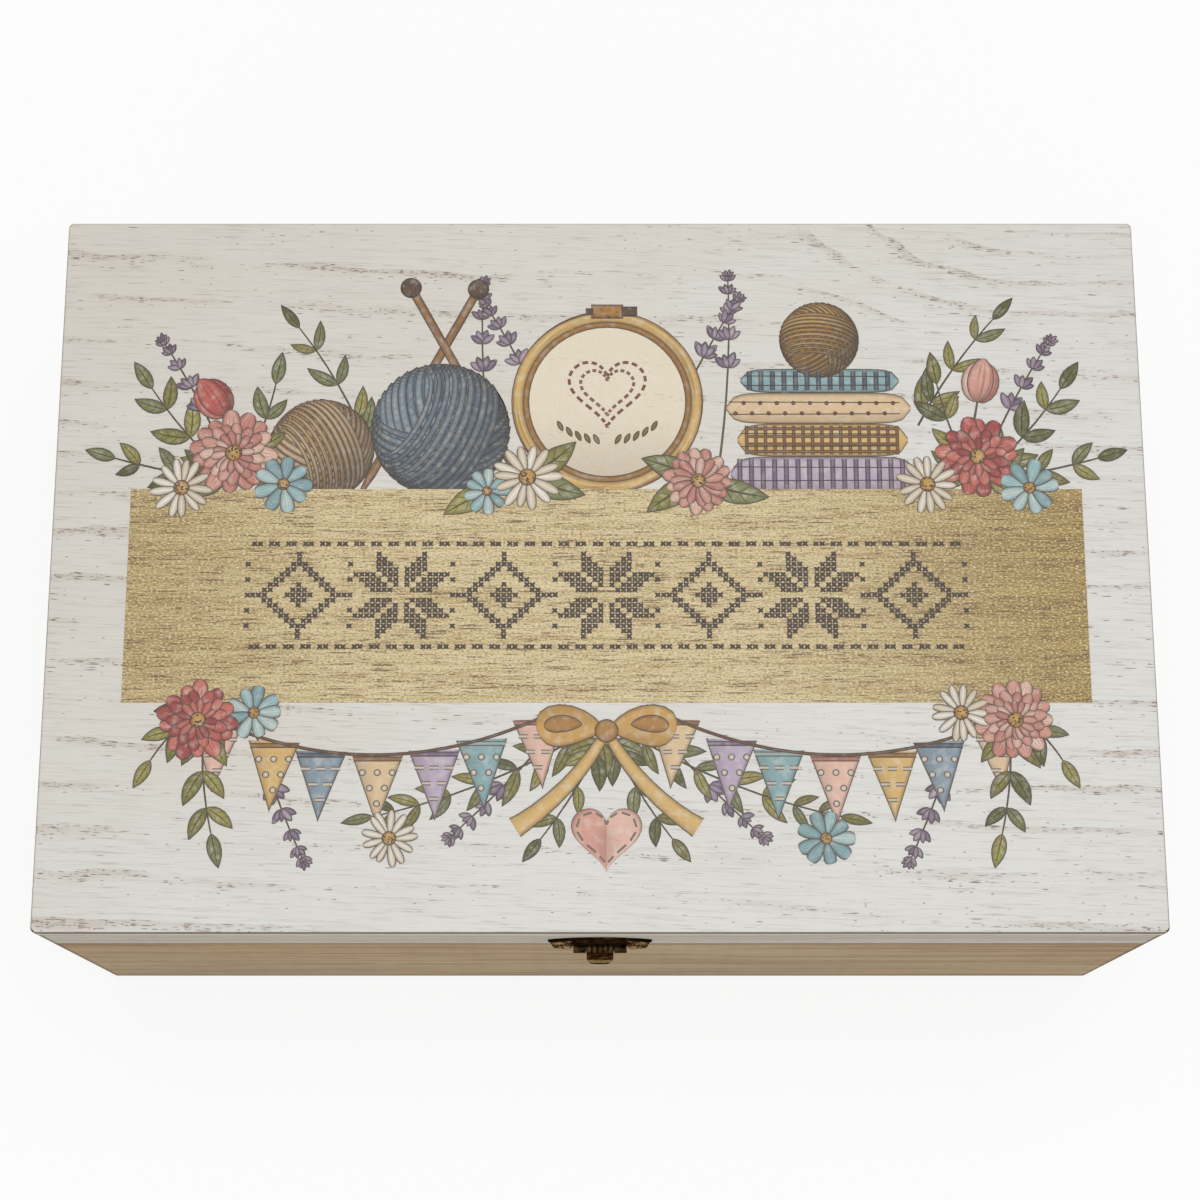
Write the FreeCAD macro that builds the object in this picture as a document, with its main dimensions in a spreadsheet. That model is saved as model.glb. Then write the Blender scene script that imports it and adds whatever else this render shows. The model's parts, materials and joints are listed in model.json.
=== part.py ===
"""Hinged wooden sewing box with a bronze hasp and a lift-out tray.

Millimetres, +Z up, front towards -Y, origin at the middle of the underside.
The base and the lid are rabbeted board frames, the tray rests on two runners,
and the two butt hinges and the hasp are sheet metal rolled round their pins.
"""
import FreeCAD, Part
import math
import os
import re

import Sketcher

KNUCKLES = 3
TRAY_COLUMNS = 3

SIZES = {
    # carcase of base and lid
    "box_width": 300,
    "box_depth": 200,
    "base_height": 91,
    "lid_height": 25,
    "wall_thickness": 8,
    "rabbet_depth": 4,
    "bottom_thickness": 3,
    "lid_panel_thickness": 5,
    "corner_radius": 1.5,
    "arris_width": 0.5,
    # tray and its runners
    "under_tray_height": 46,
    "runner_width": 8,
    "runner_height": 10,
    "runner_chamfer": 4,
    "tray_clearance": 1,
    "tray_height": 38,
    "tray_wall": 4,
    "tray_floor_thickness": 3,
    "tray_rabbet": 2,
    "tray_corner_radius": 1,
    "divider_thickness": 3,
    "dado_depth": 1.5,
    "back_row_depth": 60,
    "finger_radius": 11,
    # butt hinges on the back
    "hinge_inset": 55,
    "hinge_width": 25,
    "leaf_height": 12,
    "leaf_thickness": 0.9,
    "leaf_corner_radius": 1.5,
    "knuckle_radius": 1.9,
    "knuckle_clearance": 0.2,
    "barrel_gap": 0.3,
    "hinge_pin_radius": 0.9,
    "pin_clearance": 0.05,
    # countersunk screws of the hinges
    "screw_spacing": 14,
    "screw_drop": 7.2,
    "screw_head_radius": 2,
    "screw_radius": 1,
    "screw_length": 6,
    "fastener_clearance": 0.05,
    # hasp plate on the lid
    "hasp_axis_rise": 1.5,
    "hasp_barrel_radius": 1.25,
    "hasp_barrel_width": 14.5,
    "hasp_pin_radius": 0.6,
    "hasp_width": 28,
    "hasp_thickness": 0.7,
    "wing_tip_height": 8.3,
    "crown_rise": 5.3,
    "lobe_radius": 4.2,
    "lobe_spacing": 17.6,
    "lobe_height": 4.6,
    "relief_inset": 1,
    "relief_height": 1.1,
    "relief_slope_degrees": 35,
    # sprung tongue of the hasp
    "tongue_width": 7.4,
    "tongue_clearance": 0.15,
    "strap_thickness": 0.8,
    "strap_straight": 2.5,
    "bend_drop": 10,
    "bend_reach": 4.1,
    "bend_radius": 4,
    "tongue_length": 13.5,
    "lip_reach": 4.5,
    "lip_bead_radius": 0.6,
    "tongue_end_radius": 2.6,
    "window_width": 5.5,
    "window_top": 4.2,
    "window_bottom": 10.3,
    "window_arch_radius": 2.2,
    # catch plate on the base
    "catch_width": 11,
    "catch_thickness": 0.8,
    "catch_top": 3.2,
    "catch_bottom": 12.2,
    "catch_corner_radius": 2,
    "nose_width": 4.7,
    "nose_reach": 2.9,
    "nose_top": 5.4,
    "nose_bottom": 9.4,
    "nose_slope": 1.2,
    "nose_edge_radius": 0.5,
    # round-headed nails of hasp and catch
    "nail_head_radius": 0.9,
    "nail_head_height": 0.5,
    "nail_crown_radius": 0.5,
    "nail_radius": 0.45,
    "nail_length": 5,
    "catch_nail_spacing": 8.4,
    "catch_nail_drop": 7.4,
    # how far a cutting outline runs past the solid that it cuts
    "overrun": 1,
}

Y_AXIS = FreeCAD.Vector(0, 1, 0)
Z_AXIS = FreeCAD.Vector(0, 0, 1)

doc = FreeCAD.newDocument("sewing_box")
sheet = doc.addObject("Spreadsheet::Sheet", "dim")
for row, (name, size) in enumerate(SIZES.items(), start=1):
    sheet.set(f"A{row}", name)
    sheet.set(f"B{row}", str(size))
    sheet.setAlias(f"B{row}", name)
doc.recompute()

nodes = []


# Drawing helpers: a formula is a sum of size names, and each name reads its cell of the sheet

def formula(text):
    """The expression for a sum of size names."""
    return re.sub(r"[a-z_]+", lambda word: f"dim.{word.group()}", text)


def new_node(label, x="0", y="0", z="0", turn=None):
    """An empty body that is one piece of the box, placed by three formulas and an optional turn."""
    body = doc.addObject("PartDesign::Body", label)
    body.Label = label
    if turn:
        axis, degrees = turn
        body.Placement = FreeCAD.Placement(FreeCAD.Vector(), FreeCAD.Rotation(axis, degrees))
    for way, text in (("x", x), ("y", y), ("z", z)):
        if text != "0":
            body.setExpression(f"Placement.Base.{way}", formula(text))
    nodes.append(body)
    return body


def origin_part(body, role):
    """One of the body's own origin planes or axes."""
    return next(part for part in body.Origin.OriginFeatures if part.Role == role)


def new_sketch(body, role, name, shift="0", lift="0"):
    """An empty sketch on an origin plane, moved along its own x by shift and along its normal by lift."""
    sketch = body.newObject("Sketcher::SketchObject", f"{body.Name}_{name}")
    sketch.AttachmentSupport = (origin_part(body, role), [""])
    sketch.MapMode = "FlatFace"
    for way, text in (("x", shift), ("z", lift)):
        if text != "0":
            sketch.setExpression(f"AttachmentOffset.Base.{way}", formula(text))
    return sketch


def hold_point(sketch, item, end, start, x, y):
    """Tie a point of the sketch to the formulas for its x and y."""
    for kind, text, begin, axis in (("DistanceX", x, start.x, -2), ("DistanceY", y, start.y, -1)):
        if text == "0":
            sketch.addConstraint(Sketcher.Constraint("PointOnObject", item, end, axis))
        else:
            number = sketch.addConstraint(Sketcher.Constraint(kind, -1, 1, item, end, begin))
            sketch.setExpression(f"Constraints[{number}]", formula(text))


def draw_outline(sketch, corners):
    """A closed outline of straight lines through corners, each a pair of formulas."""
    first = sketch.GeometryCount
    count = len(corners)
    turns = [2 * math.pi * step / count for step in range(count)]
    starts = [FreeCAD.Vector(math.cos(turn), math.sin(turn), 0) for turn in turns]
    for step in range(count):
        sketch.addGeometry(Part.LineSegment(starts[step], starts[(step + 1) % count]))
    for step in range(count):
        following = first + (step + 1) % count
        sketch.addConstraint(Sketcher.Constraint("Coincident", first + step, 2, following, 1))
    for step, (x, y) in enumerate(corners):
        hold_point(sketch, first + step, 1, starts[step], x, y)


def draw_box(sketch, left, right, low, high):
    """An upright rectangle between four formulas."""
    draw_outline(sketch, [(left, low), (right, low), (right, high), (left, high)])


def draw_circle(sketch, x, y, radius):
    """A circle whose centre and radius are formulas."""
    start = FreeCAD.Vector(1, 1, 0)
    item = sketch.addGeometry(Part.Circle(start, Z_AXIS, 1))
    hold_point(sketch, item, 3, start, x, y)
    number = sketch.addConstraint(Sketcher.Constraint("Radius", item, 1))
    sketch.setExpression(f"Constraints[{number}]", formula(radius))


def draw_crown(sketch, half_width, low, rise):
    """An arc that stands on a level chord, with its top in the middle at rise above the chord."""
    unit = Part.Circle(FreeCAD.Vector(), Z_AXIS, 1)
    arc = Part.ArcOfCircle(unit, math.radians(30), math.radians(150))
    chord_item = sketch.addGeometry(Part.LineSegment(arc.EndPoint, arc.StartPoint))
    arc_item = sketch.addGeometry(arc)
    sketch.addConstraint(Sketcher.Constraint("Coincident", chord_item, 1, arc_item, 2))
    sketch.addConstraint(Sketcher.Constraint("Coincident", chord_item, 2, arc_item, 1))
    hold_point(sketch, chord_item, 1, arc.EndPoint, f"-({half_width})", low)
    hold_point(sketch, chord_item, 2, arc.StartPoint, half_width, low)
    number = sketch.addConstraint(Sketcher.Constraint("Radius", arc_item, 1))
    sketch.setExpression(f"Constraints[{number}]", formula(f"(({half_width})^2 + ({rise})^2)/(2*({rise}))"))


def pad(sketch, length, middle=False, backwards=False, slope="0"):
    """Raise the sketch to a solid: along its normal, against it, or half to each side, with sloping sides."""
    body = sketch.getParentGeoFeatureGroup()
    feature = body.newObject("PartDesign::Pad", f"{sketch.Name}_pad")
    feature.Profile = sketch
    feature.setExpression("Length", formula(length))
    feature.Midplane = middle
    feature.Reversed = backwards
    feature.setExpression("TaperAngle", formula(slope))
    doc.recompute()
    return feature


def cut(sketch, depth=None, backwards=False):
    """Sink the sketch into the body by depth, or right through both ways, and see that it cut."""
    body = sketch.getParentGeoFeatureGroup()
    before = body.Shape.Volume
    feature = body.newObject("PartDesign::Pocket", f"{sketch.Name}_cut")
    feature.Profile = sketch
    if depth:
        feature.setExpression("Length", formula(depth))
        feature.Reversed = backwards
    else:
        feature.Type = "ThroughAll"
        feature.Midplane = True
    doc.recompute()
    if not body.Shape.Volume < before:
        raise RuntimeError(f"{sketch.Name} cuts nothing")
    return feature


def turn_round(sketch, kind):
    """Turn the sketch a full circle about its own upright axis: a Revolution adds, a Groove cuts."""
    body = sketch.getParentGeoFeatureGroup()
    feature = body.newObject(f"PartDesign::{kind}", f"{sketch.Name}_turned")
    feature.Profile = sketch
    feature.ReferenceAxis = (sketch, ["V_Axis"])
    feature.Angle = 360
    doc.recompute()
    return feature


def mirror(body, features):
    """Repeat features on the other side of the body's middle plane."""
    feature = body.newObject("PartDesign::Mirrored", f"{body.Name}_mirrored")
    feature.Originals = features
    feature.MirrorPlane = (origin_part(body, "YZ_Plane"), [""])
    body.Tip = feature
    doc.recompute()


def repeat_and_mirror(body, features, step):
    """Repeat features once along X by step, then the pair on the other side of the middle plane."""
    several = body.newObject("PartDesign::MultiTransform", f"{body.Name}_repeated")
    several.Originals = features
    row = body.newObject("PartDesign::LinearPattern", f"{body.Name}_pair")
    row.Direction = (origin_part(body, "X_Axis"), [""])
    row.setExpression("Length", formula(step))
    row.Occurrences = 2
    other_side = body.newObject("PartDesign::Mirrored", f"{body.Name}_other_side")
    other_side.MirrorPlane = (origin_part(body, "YZ_Plane"), [""])
    several.Transformations = [row, other_side]
    body.Tip = several
    doc.recompute()


def edges_of(body, wanted):
    """The body's last feature and its edges that the test wanted picks by middle point and direction."""
    last = body.Tip
    names = []
    for number, edge in enumerate(last.Shape.Edges, start=1):
        if edge.Degenerated:
            continue
        half_way = (edge.FirstParameter + edge.LastParameter) / 2
        if wanted(edge.valueAt(half_way), edge.tangentAt(half_way)):
            names.append(f"Edge{number}")
    if not names:
        raise RuntimeError(f"{body.Label} has no such edge")
    return last, names


def round_edges(body, radius, wanted):
    """Fillet the wanted edges of the body."""
    picked = edges_of(body, wanted)
    feature = body.newObject("PartDesign::Fillet", f"{body.Name}_rounded")
    feature.Base = picked
    feature.setExpression("Radius", formula(radius))
    doc.recompute()


def bevel_edges(body, width, wanted):
    """Chamfer the wanted edges of the body."""
    picked = edges_of(body, wanted)
    feature = body.newObject("PartDesign::Chamfer", f"{body.Name}_bevelled")
    feature.Base = picked
    feature.setExpression("Size", formula(width))
    doc.recompute()


def along(direction, axis):
    """Whether an edge runs along an axis."""
    return near(abs(direction.dot(axis)), 1)


def near(first, second):
    """Whether two values are the same, within the drawing's exactness."""
    return math.isclose(first, second, rel_tol=1e-6, abs_tol=1e-6)


# Boards: local X along the board, Y from its outer face inwards, Z up

def board(label, length, section, **place):
    """A board with the given cross-section, whose corners are formulas for depth and height."""
    body = new_node(label, **place)
    sketch = new_sketch(body, "YZ_Plane", "section")
    draw_outline(sketch, section)
    pad(sketch, length, middle=True)
    return body


def end_steps(body, length, thickness, step):
    """Step both ends of a board on its inner face, so that the crossing boards stand in the steps."""
    sketch = new_sketch(body, "XY_Plane", "end_steps")
    draw_box(sketch, f"{length}/2 - {thickness}", f"{length}/2", f"{thickness} - {step}", thickness)
    draw_box(sketch, f"-{length}/2", f"-{length}/2 + {thickness}", f"{thickness} - {step}", thickness)
    cut(sketch)


def board_frame(name, kind, z, section, length, depth, thickness, step, radius):
    """Four boards round a rectangle: front and back run through, left and right stand in their end steps."""
    between = f"({depth} - 2*({thickness} - {step}))"
    boards = {}
    for side, sign, degrees in (("front", "-", 0), ("back", "", 180)):
        place = {"y": f"{sign}{depth}/2", "z": z, "turn": (Z_AXIS, degrees)}
        boards[side] = board(f"{name}_{side}_{kind}", length, section, **place)
        end_steps(boards[side], length, thickness, step)
        round_edges(boards[side], radius, lambda point, way: along(way, Z_AXIS) and near(point.y, 0))
    for side, sign, degrees in (("left", "-", -90), ("right", "", 90)):
        place = {"x": f"{sign}{length}/2", "z": z, "turn": (Z_AXIS, degrees)}
        boards[side] = board(f"{name}_{side}_{kind}", between, section, **place)
    return boards


def prick(body, places, reach, depth):
    """Square awl holes into the outer face of a board, at pairs of formulas for X and Z."""
    sketch = new_sketch(body, "XZ_Plane", "holes")
    for x, z in places:
        draw_box(sketch, f"{x} - {reach}", f"{x} + {reach}", f"{z} - {reach}", f"{z} + {reach}")
    cut(sketch, depth)


def panel(label, width, depth, thickness, z):
    """A flat board lying level, centred over the origin."""
    body = new_node(label, z=z)
    sketch = new_sketch(body, "XY_Plane", "outline")
    draw_box(sketch, f"-{width}/2", f"{width}/2", f"-{depth}/2", f"{depth}/2")
    pad(sketch, thickness)
    return body


# Base: four rabbeted walls and a bottom panel let into them from below

BASE_SECTION = [
    ("0", "0"),
    ("wall_thickness - rabbet_depth", "0"),
    ("wall_thickness - rabbet_depth", "bottom_thickness"),
    ("wall_thickness", "bottom_thickness"),
    ("wall_thickness", "base_height"),
    ("0", "base_height"),
]
base = board_frame("base", "wall", "0", BASE_SECTION, "box_width", "box_depth",
                   "wall_thickness", "rabbet_depth", "corner_radius")
panel("base_bottom_panel", "(box_width - 2*(wall_thickness - rabbet_depth))",
      "(box_depth - 2*(wall_thickness - rabbet_depth))", "bottom_thickness", "0")


# Tray runners: strips glued to the side walls, chamfered below so that a hand doesn't catch on them

INNER_WIDTH = "(box_width - 2*wall_thickness)"
INNER_DEPTH = "(box_depth - 2*wall_thickness)"
TRAY_SEAT = "(bottom_thickness + under_tray_height)"
RUNNER_SECTION = [
    ("0", "-runner_height"),
    ("runner_width - runner_chamfer", "-runner_height"),
    ("runner_width", "runner_chamfer - runner_height"),
    ("runner_width", "0"),
    ("0", "0"),
]
for side, sign, degrees in (("left", "-", -90), ("right", "", 90)):
    board(f"tray_runner_{side}", INNER_DEPTH, RUNNER_SECTION,
          x=f"{sign}{INNER_WIDTH}/2", z=TRAY_SEAT, turn=(Z_AXIS, degrees))


# Lid: four rails of the same joinery under one full-size panel with eased corners and top edge

RAIL_HEIGHT = "(lid_height - lid_panel_thickness)"
RAIL_SECTION = [("0", "0"), ("wall_thickness", "0"), ("wall_thickness", RAIL_HEIGHT), ("0", RAIL_HEIGHT)]
lid = board_frame("lid", "rail", "base_height", RAIL_SECTION, "box_width", "box_depth",
                  "wall_thickness", "rabbet_depth", "corner_radius")
lid_panel = panel("lid_panel", "box_width", "box_depth", "lid_panel_thickness",
                  f"base_height + {RAIL_HEIGHT}")
round_edges(lid_panel, "corner_radius", lambda point, way: along(way, Z_AXIS))
panel_top = sheet.get("lid_panel_thickness")
bevel_edges(lid_panel, "arris_width", lambda point, way: near(point.z, panel_top))


# Tray: a floor under four walls, with dividers halved together and housed in the walls

TRAY_WIDTH = f"({INNER_WIDTH} - 2*tray_clearance)"
TRAY_DEPTH = f"({INNER_DEPTH} - 2*tray_clearance)"
TRAY_WALL_HEIGHT = "(tray_height - tray_floor_thickness)"
TRAY_WALL_FOOT = f"({TRAY_SEAT} + tray_floor_thickness)"
TRAY_SECTION = [("0", "0"), ("tray_wall", "0"), ("tray_wall", TRAY_WALL_HEIGHT), ("0", TRAY_WALL_HEIGHT)]
CELLS_WIDTH = f"({TRAY_WIDTH} - 2*tray_wall)"
CELLS_DEPTH = f"({TRAY_DEPTH} - 2*tray_wall)"
COLUMN_STEP = f"(({CELLS_WIDTH} + divider_thickness)/{TRAY_COLUMNS})"
CROSS_PLACES = [f"({COLUMN_STEP}*({number} - {TRAY_COLUMNS}/2))" for number in range(1, TRAY_COLUMNS)]
LONG_PLACE = f"({CELLS_DEPTH}/2 - back_row_depth - divider_thickness/2)"


def slots(body, plane, places, low, high):
    """Slots as wide as a divider is thick, right through a board, between two formulas."""
    sketch = new_sketch(body, plane, "slots")
    for place in places:
        draw_box(sketch, f"{place} - divider_thickness/2", f"{place} + divider_thickness/2", low, high)
    cut(sketch)


def divider(label, length, crossings, low, high, **place):
    """A thin board on the tray floor, slotted from low to high where other dividers cross it."""
    body = new_node(label, z=TRAY_WALL_FOOT, **place)
    sketch = new_sketch(body, "XZ_Plane", "outline")
    draw_box(sketch, f"-{length}/2", f"{length}/2", "0", TRAY_WALL_HEIGHT)
    pad(sketch, "divider_thickness", middle=True)
    slots(body, "XZ_Plane", crossings, low, high)


panel("tray_floor", TRAY_WIDTH, TRAY_DEPTH, "tray_floor_thickness", TRAY_SEAT)
tray = board_frame("tray", "wall", TRAY_WALL_FOOT, TRAY_SECTION, TRAY_WIDTH, TRAY_DEPTH,
                   "tray_wall", "tray_rabbet", "tray_corner_radius")
for side in ("front", "back"):
    slots(tray[side], "XY_Plane", CROSS_PLACES, "tray_wall - dado_depth", "tray_wall")
for side, sign in (("left", "-"), ("right", "")):
    slots(tray[side], "XY_Plane", [f"{sign}{LONG_PLACE}"], "tray_wall - dado_depth", "tray_wall")
    finger_notch = new_sketch(tray[side], "XZ_Plane", "finger_notch")
    draw_circle(finger_notch, "0", TRAY_WALL_HEIGHT, "finger_radius")
    cut(finger_notch)
divider("tray_long_divider", f"({CELLS_WIDTH} + 2*dado_depth)", CROSS_PLACES,
        f"{TRAY_WALL_HEIGHT}/2", TRAY_WALL_HEIGHT, y=LONG_PLACE)
for side, cross_place in zip(("left", "right"), CROSS_PLACES):
    divider(f"tray_cross_divider_{side}", f"({CELLS_DEPTH} + 2*dado_depth)", [LONG_PLACE],
            "0", f"{TRAY_WALL_HEIGHT}/2", x=cross_place, turn=(Z_AXIS, 90))


# Butt hinges: local X along the pin, Y out from the back, Z up, origin on the pin at the joint line

PIN_OUT = "(knuckle_radius + barrel_gap)"
HINGE_Y = f"(box_depth/2 + {PIN_OUT})"
LEAF_FACE = f"(leaf_thickness - {PIN_OUT})"
HINGE_PLACE = "(box_width/2 - hinge_inset)"
KNUCKLE_STEP = f"(hinge_width/{KNUCKLES})"


def hinge_leaf(label, x, degrees, open_knuckles):
    """A leaf rolled round the pin, cut away for the other leaf's knuckles, with two countersunk holes."""
    body = new_node(label, x=x, y=HINGE_Y, z="base_height", turn=(Y_AXIS, degrees))
    sketch = new_sketch(body, "YZ_Plane", "leaf")
    draw_outline(sketch, [
        (f"-{PIN_OUT}", "-leaf_height"),
        (LEAF_FACE, "-leaf_height"),
        (LEAF_FACE, "0"),
        ("-knuckle_radius", "0"),
        (f"-{PIN_OUT}", "-knuckle_radius/2"),
    ])
    pad(sketch, "hinge_width", middle=True)
    foot = -sheet.get("leaf_height")
    round_edges(body, "leaf_corner_radius", lambda point, way: near(point.z, foot) and along(way, Y_AXIS))
    sketch = new_sketch(body, "YZ_Plane", "barrel")
    draw_circle(sketch, "0", "0", "knuckle_radius")
    pad(sketch, "hinge_width", middle=True)
    sketch = new_sketch(body, "YZ_Plane", "bore")
    draw_circle(sketch, "0", "0", "hinge_pin_radius + pin_clearance")
    cut(sketch)
    sketch = new_sketch(body, "XZ_Plane", "knuckle_gaps")
    for number in open_knuckles:
        left = f"{KNUCKLE_STEP}*({number} - {KNUCKLES}/2) - knuckle_clearance/2"
        right = f"{KNUCKLE_STEP}*({number} + 1 - {KNUCKLES}/2) + knuckle_clearance/2"
        draw_box(sketch, left, right, "-knuckle_radius - knuckle_clearance", "knuckle_radius + overrun")
    cut(sketch)
    sketch = new_sketch(body, "XY_Plane", "screw_hole", shift="screw_spacing/2", lift="-screw_drop")
    draw_outline(sketch, [
        ("0", LEAF_FACE),
        ("screw_head_radius + fastener_clearance", LEAF_FACE),
        ("screw_radius + fastener_clearance", f"-{PIN_OUT}"),
        ("0", f"-{PIN_OUT}"),
    ])
    mirror(body, [turn_round(sketch, "Groove")])


def pin(label, radius, length, **place):
    """A plain pin along X, as long as its barrel."""
    body = new_node(label, **place)
    sketch = new_sketch(body, "YZ_Plane", "section")
    draw_circle(sketch, "0", "0", radius)
    pad(sketch, length, middle=True)


def hinge_screws(label, z):
    """Four countersunk screws, two through each leaf at this height."""
    body = new_node(label, y="box_depth/2 + leaf_thickness", z=z)
    sketch = new_sketch(body, "XY_Plane", "half_section", shift=f"{HINGE_PLACE} - screw_spacing/2")
    draw_outline(sketch, [
        ("0", "0"),
        ("screw_head_radius", "0"),
        ("screw_radius", "-leaf_thickness"),
        ("screw_radius", "-screw_length"),
        ("0", "-screw_length"),
    ])
    repeat_and_mirror(body, [turn_round(sketch, "Revolution")], "screw_spacing")


base_knuckles = range(0, KNUCKLES, 2)
lid_knuckles = range(1, KNUCKLES, 2)
for side, sign in (("left", "-"), ("right", "")):
    hinge_x = f"{sign}{HINGE_PLACE}"
    hinge_leaf(f"hinge_base_leaf_{side}", hinge_x, 0, lid_knuckles)
    hinge_leaf(f"hinge_lid_leaf_{side}", hinge_x, 180, base_knuckles)
    pin(f"hinge_pin_{side}", "hinge_pin_radius", "hinge_width", x=hinge_x, y=HINGE_Y, z="base_height")
hinge_screws("hinge_base_screws", "base_height - screw_drop")
hinge_screws("hinge_lid_screws", "base_height + screw_drop")
SCREW_PLACES = [f"{side}{HINGE_PLACE} {way} screw_spacing/2" for side in ("-", "") for way in ("-", "+")]
for wall, height in ((base["back"], "base_height - screw_drop"), (lid["back"], "screw_drop")):
    prick(wall, [(x, height) for x in SCREW_PLACES], "(screw_radius + fastener_clearance)",
          "screw_length - leaf_thickness + fastener_clearance")


# Hasp: local X to the left, Y out from the front, Z up, origin in the front face level with the hasp's pin

HASP_Z = "(base_height + hasp_axis_rise)"
HASP_PLACE = {"y": "-box_depth/2", "z": HASP_Z, "turn": (Z_AXIS, 180)}
HASP_PIN_OUT = "(hasp_barrel_radius + barrel_gap)"
NOTCH_HALF = "(tongue_width/2 + tongue_clearance)"
NAIL_HOLE = "(nail_radius + fastener_clearance)"
HASP_SEAT = "(hasp_thickness + relief_height)"


def rolled_barrel(body, length):
    """A barrel along X round the hasp's pin, with its bore."""
    sketch = new_sketch(body, "YZ_Plane", "barrel")
    draw_circle(sketch, HASP_PIN_OUT, "0", "hasp_barrel_radius")
    pad(sketch, length, middle=True)
    sketch = new_sketch(body, "YZ_Plane", "bore")
    draw_circle(sketch, HASP_PIN_OUT, "0", "hasp_pin_radius + pin_clearance")
    cut(sketch)


def winged_sheet(body, name, inset, seat, height, slope):
    """The hasp plate's crown and its two lobes, drawn in by inset and raised from seat by height."""
    sketch = new_sketch(body, "XZ_Plane", f"{name}_crown", lift=seat)
    draw_crown(sketch, f"hasp_width/2 - 3*{inset}", f"wing_tip_height - {inset}", "crown_rise")
    pad(sketch, height, backwards=True, slope=slope)
    sketch = new_sketch(body, "XZ_Plane", f"{name}_lobes", lift=seat)
    for sign in ("-", ""):
        draw_circle(sketch, f"{sign}lobe_spacing/2", "lobe_height", f"lobe_radius - {inset}")
    pad(sketch, height, backwards=True, slope=slope)


hasp_plate = new_node("hasp_plate", **HASP_PLACE)
middle_sheet = new_sketch(hasp_plate, "XZ_Plane", "middle")
draw_box(middle_sheet, "-hasp_barrel_width/2", "hasp_barrel_width/2", "0", "wing_tip_height")
pad(middle_sheet, "hasp_thickness", backwards=True)
winged_sheet(hasp_plate, "wings", "0", "0", "hasp_thickness", "0")
winged_sheet(hasp_plate, "relief", "relief_inset", "-hasp_thickness", "relief_height",
             "-relief_slope_degrees")
rolled_barrel(hasp_plate, "hasp_barrel_width")
tongue_notch = new_sketch(hasp_plate, "XZ_Plane", "tongue_notch")
draw_box(tongue_notch, f"-{NOTCH_HALF}", NOTCH_HALF, "-hasp_barrel_radius - overrun",
         "hasp_barrel_radius + tongue_clearance")
cut(tongue_notch)
plate_holes = new_sketch(hasp_plate, "XZ_Plane", "nail_holes")
for sign in ("-", ""):
    draw_circle(plate_holes, f"{sign}lobe_spacing/2", "lobe_height", NAIL_HOLE)
cut(plate_holes)
pin("hasp_pin", "hasp_pin_radius", "hasp_barrel_width", y=f"-box_depth/2 - {HASP_PIN_OUT}", z=HASP_Z)

# The tongue: a strap that hangs from the barrel, bends outwards twice and ends in a beaded lip,
# with an arched window that drops over the catch's nose
STRAP_OUT = f"({HASP_PIN_OUT} + hasp_barrel_radius)"
strap_bends = [
    (STRAP_OUT, "0"),
    (STRAP_OUT, "-strap_straight"),
    ("bend_reach", "-bend_drop"),
    ("lip_reach", "-tongue_length"),
]
tongue = new_node("hasp_tongue", **HASP_PLACE)
strap = new_sketch(tongue, "YZ_Plane", "strap")
draw_outline(strap, strap_bends + [(f"{out} - strap_thickness", drop) for out, drop in reversed(strap_bends)])
pad(strap, "tongue_width", middle=True)
bend_heights = (-sheet.get("strap_straight"), -sheet.get("bend_drop"))
round_edges(tongue, "bend_radius", lambda point, way: any(near(point.z, height) for height in bend_heights))
strap_foot = -sheet.get("tongue_length")
round_edges(tongue, "tongue_end_radius", lambda point, way: near(point.z, strap_foot) and along(way, Y_AXIS))
rolled_barrel(tongue, "tongue_width")
window = new_sketch(tongue, "XZ_Plane", "window")
draw_box(window, "-window_width/2", "window_width/2", "-window_bottom", "-window_top")
cut(window)
arch_foot = -sheet.get("window_top")
round_edges(tongue, "window_arch_radius", lambda point, way: near(point.z, arch_foot) and along(way, Y_AXIS))
lip_bead = new_sketch(tongue, "YZ_Plane", "lip_bead")
draw_circle(lip_bead, "lip_reach - strap_thickness/2", "lip_bead_radius - tongue_length", "lip_bead_radius")
pad(lip_bead, "window_width - lip_bead_radius", middle=True)

catch = new_node("catch_plate", **HASP_PLACE)
catch_sheet = new_sketch(catch, "XZ_Plane", "sheet")
draw_box(catch_sheet, "-catch_width/2", "catch_width/2", "-catch_bottom", "-catch_top")
pad(catch_sheet, "catch_thickness", backwards=True)
round_edges(catch, "catch_corner_radius", lambda point, way: along(way, Y_AXIS))
nose = new_sketch(catch, "YZ_Plane", "nose")
draw_outline(nose, [
    ("0", "-nose_top"),
    ("nose_reach", "-nose_top - nose_slope"),
    ("nose_reach", "-nose_bottom + nose_slope"),
    ("0", "-nose_bottom"),
])
pad(nose, "nose_width", middle=True)
nose_tip = sheet.get("nose_reach")
round_edges(catch, "nose_edge_radius", lambda point, way: near(point.y, nose_tip))
catch_holes = new_sketch(catch, "XZ_Plane", "nail_holes")
for sign in ("-", ""):
    draw_circle(catch_holes, f"{sign}catch_nail_spacing/2", "-catch_nail_drop", NAIL_HOLE)
cut(catch_holes)


def nails(label, spacing, height, seat):
    """Two nails with bevelled heads, side by side at this height, whose heads sit on metal seat thick."""
    body = new_node(label, **HASP_PLACE)
    sketch = new_sketch(body, "XY_Plane", "half_section", shift=f"{spacing}/2", lift=height)
    draw_outline(sketch, [
        ("0", f"{seat} + nail_head_height"),
        ("nail_crown_radius", f"{seat} + nail_head_height"),
        ("nail_head_radius", seat),
        ("nail_radius", seat),
        ("nail_radius", f"{seat} - nail_length"),
        ("0", f"{seat} - nail_length"),
    ])
    mirror(body, [turn_round(sketch, "Revolution")])


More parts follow.
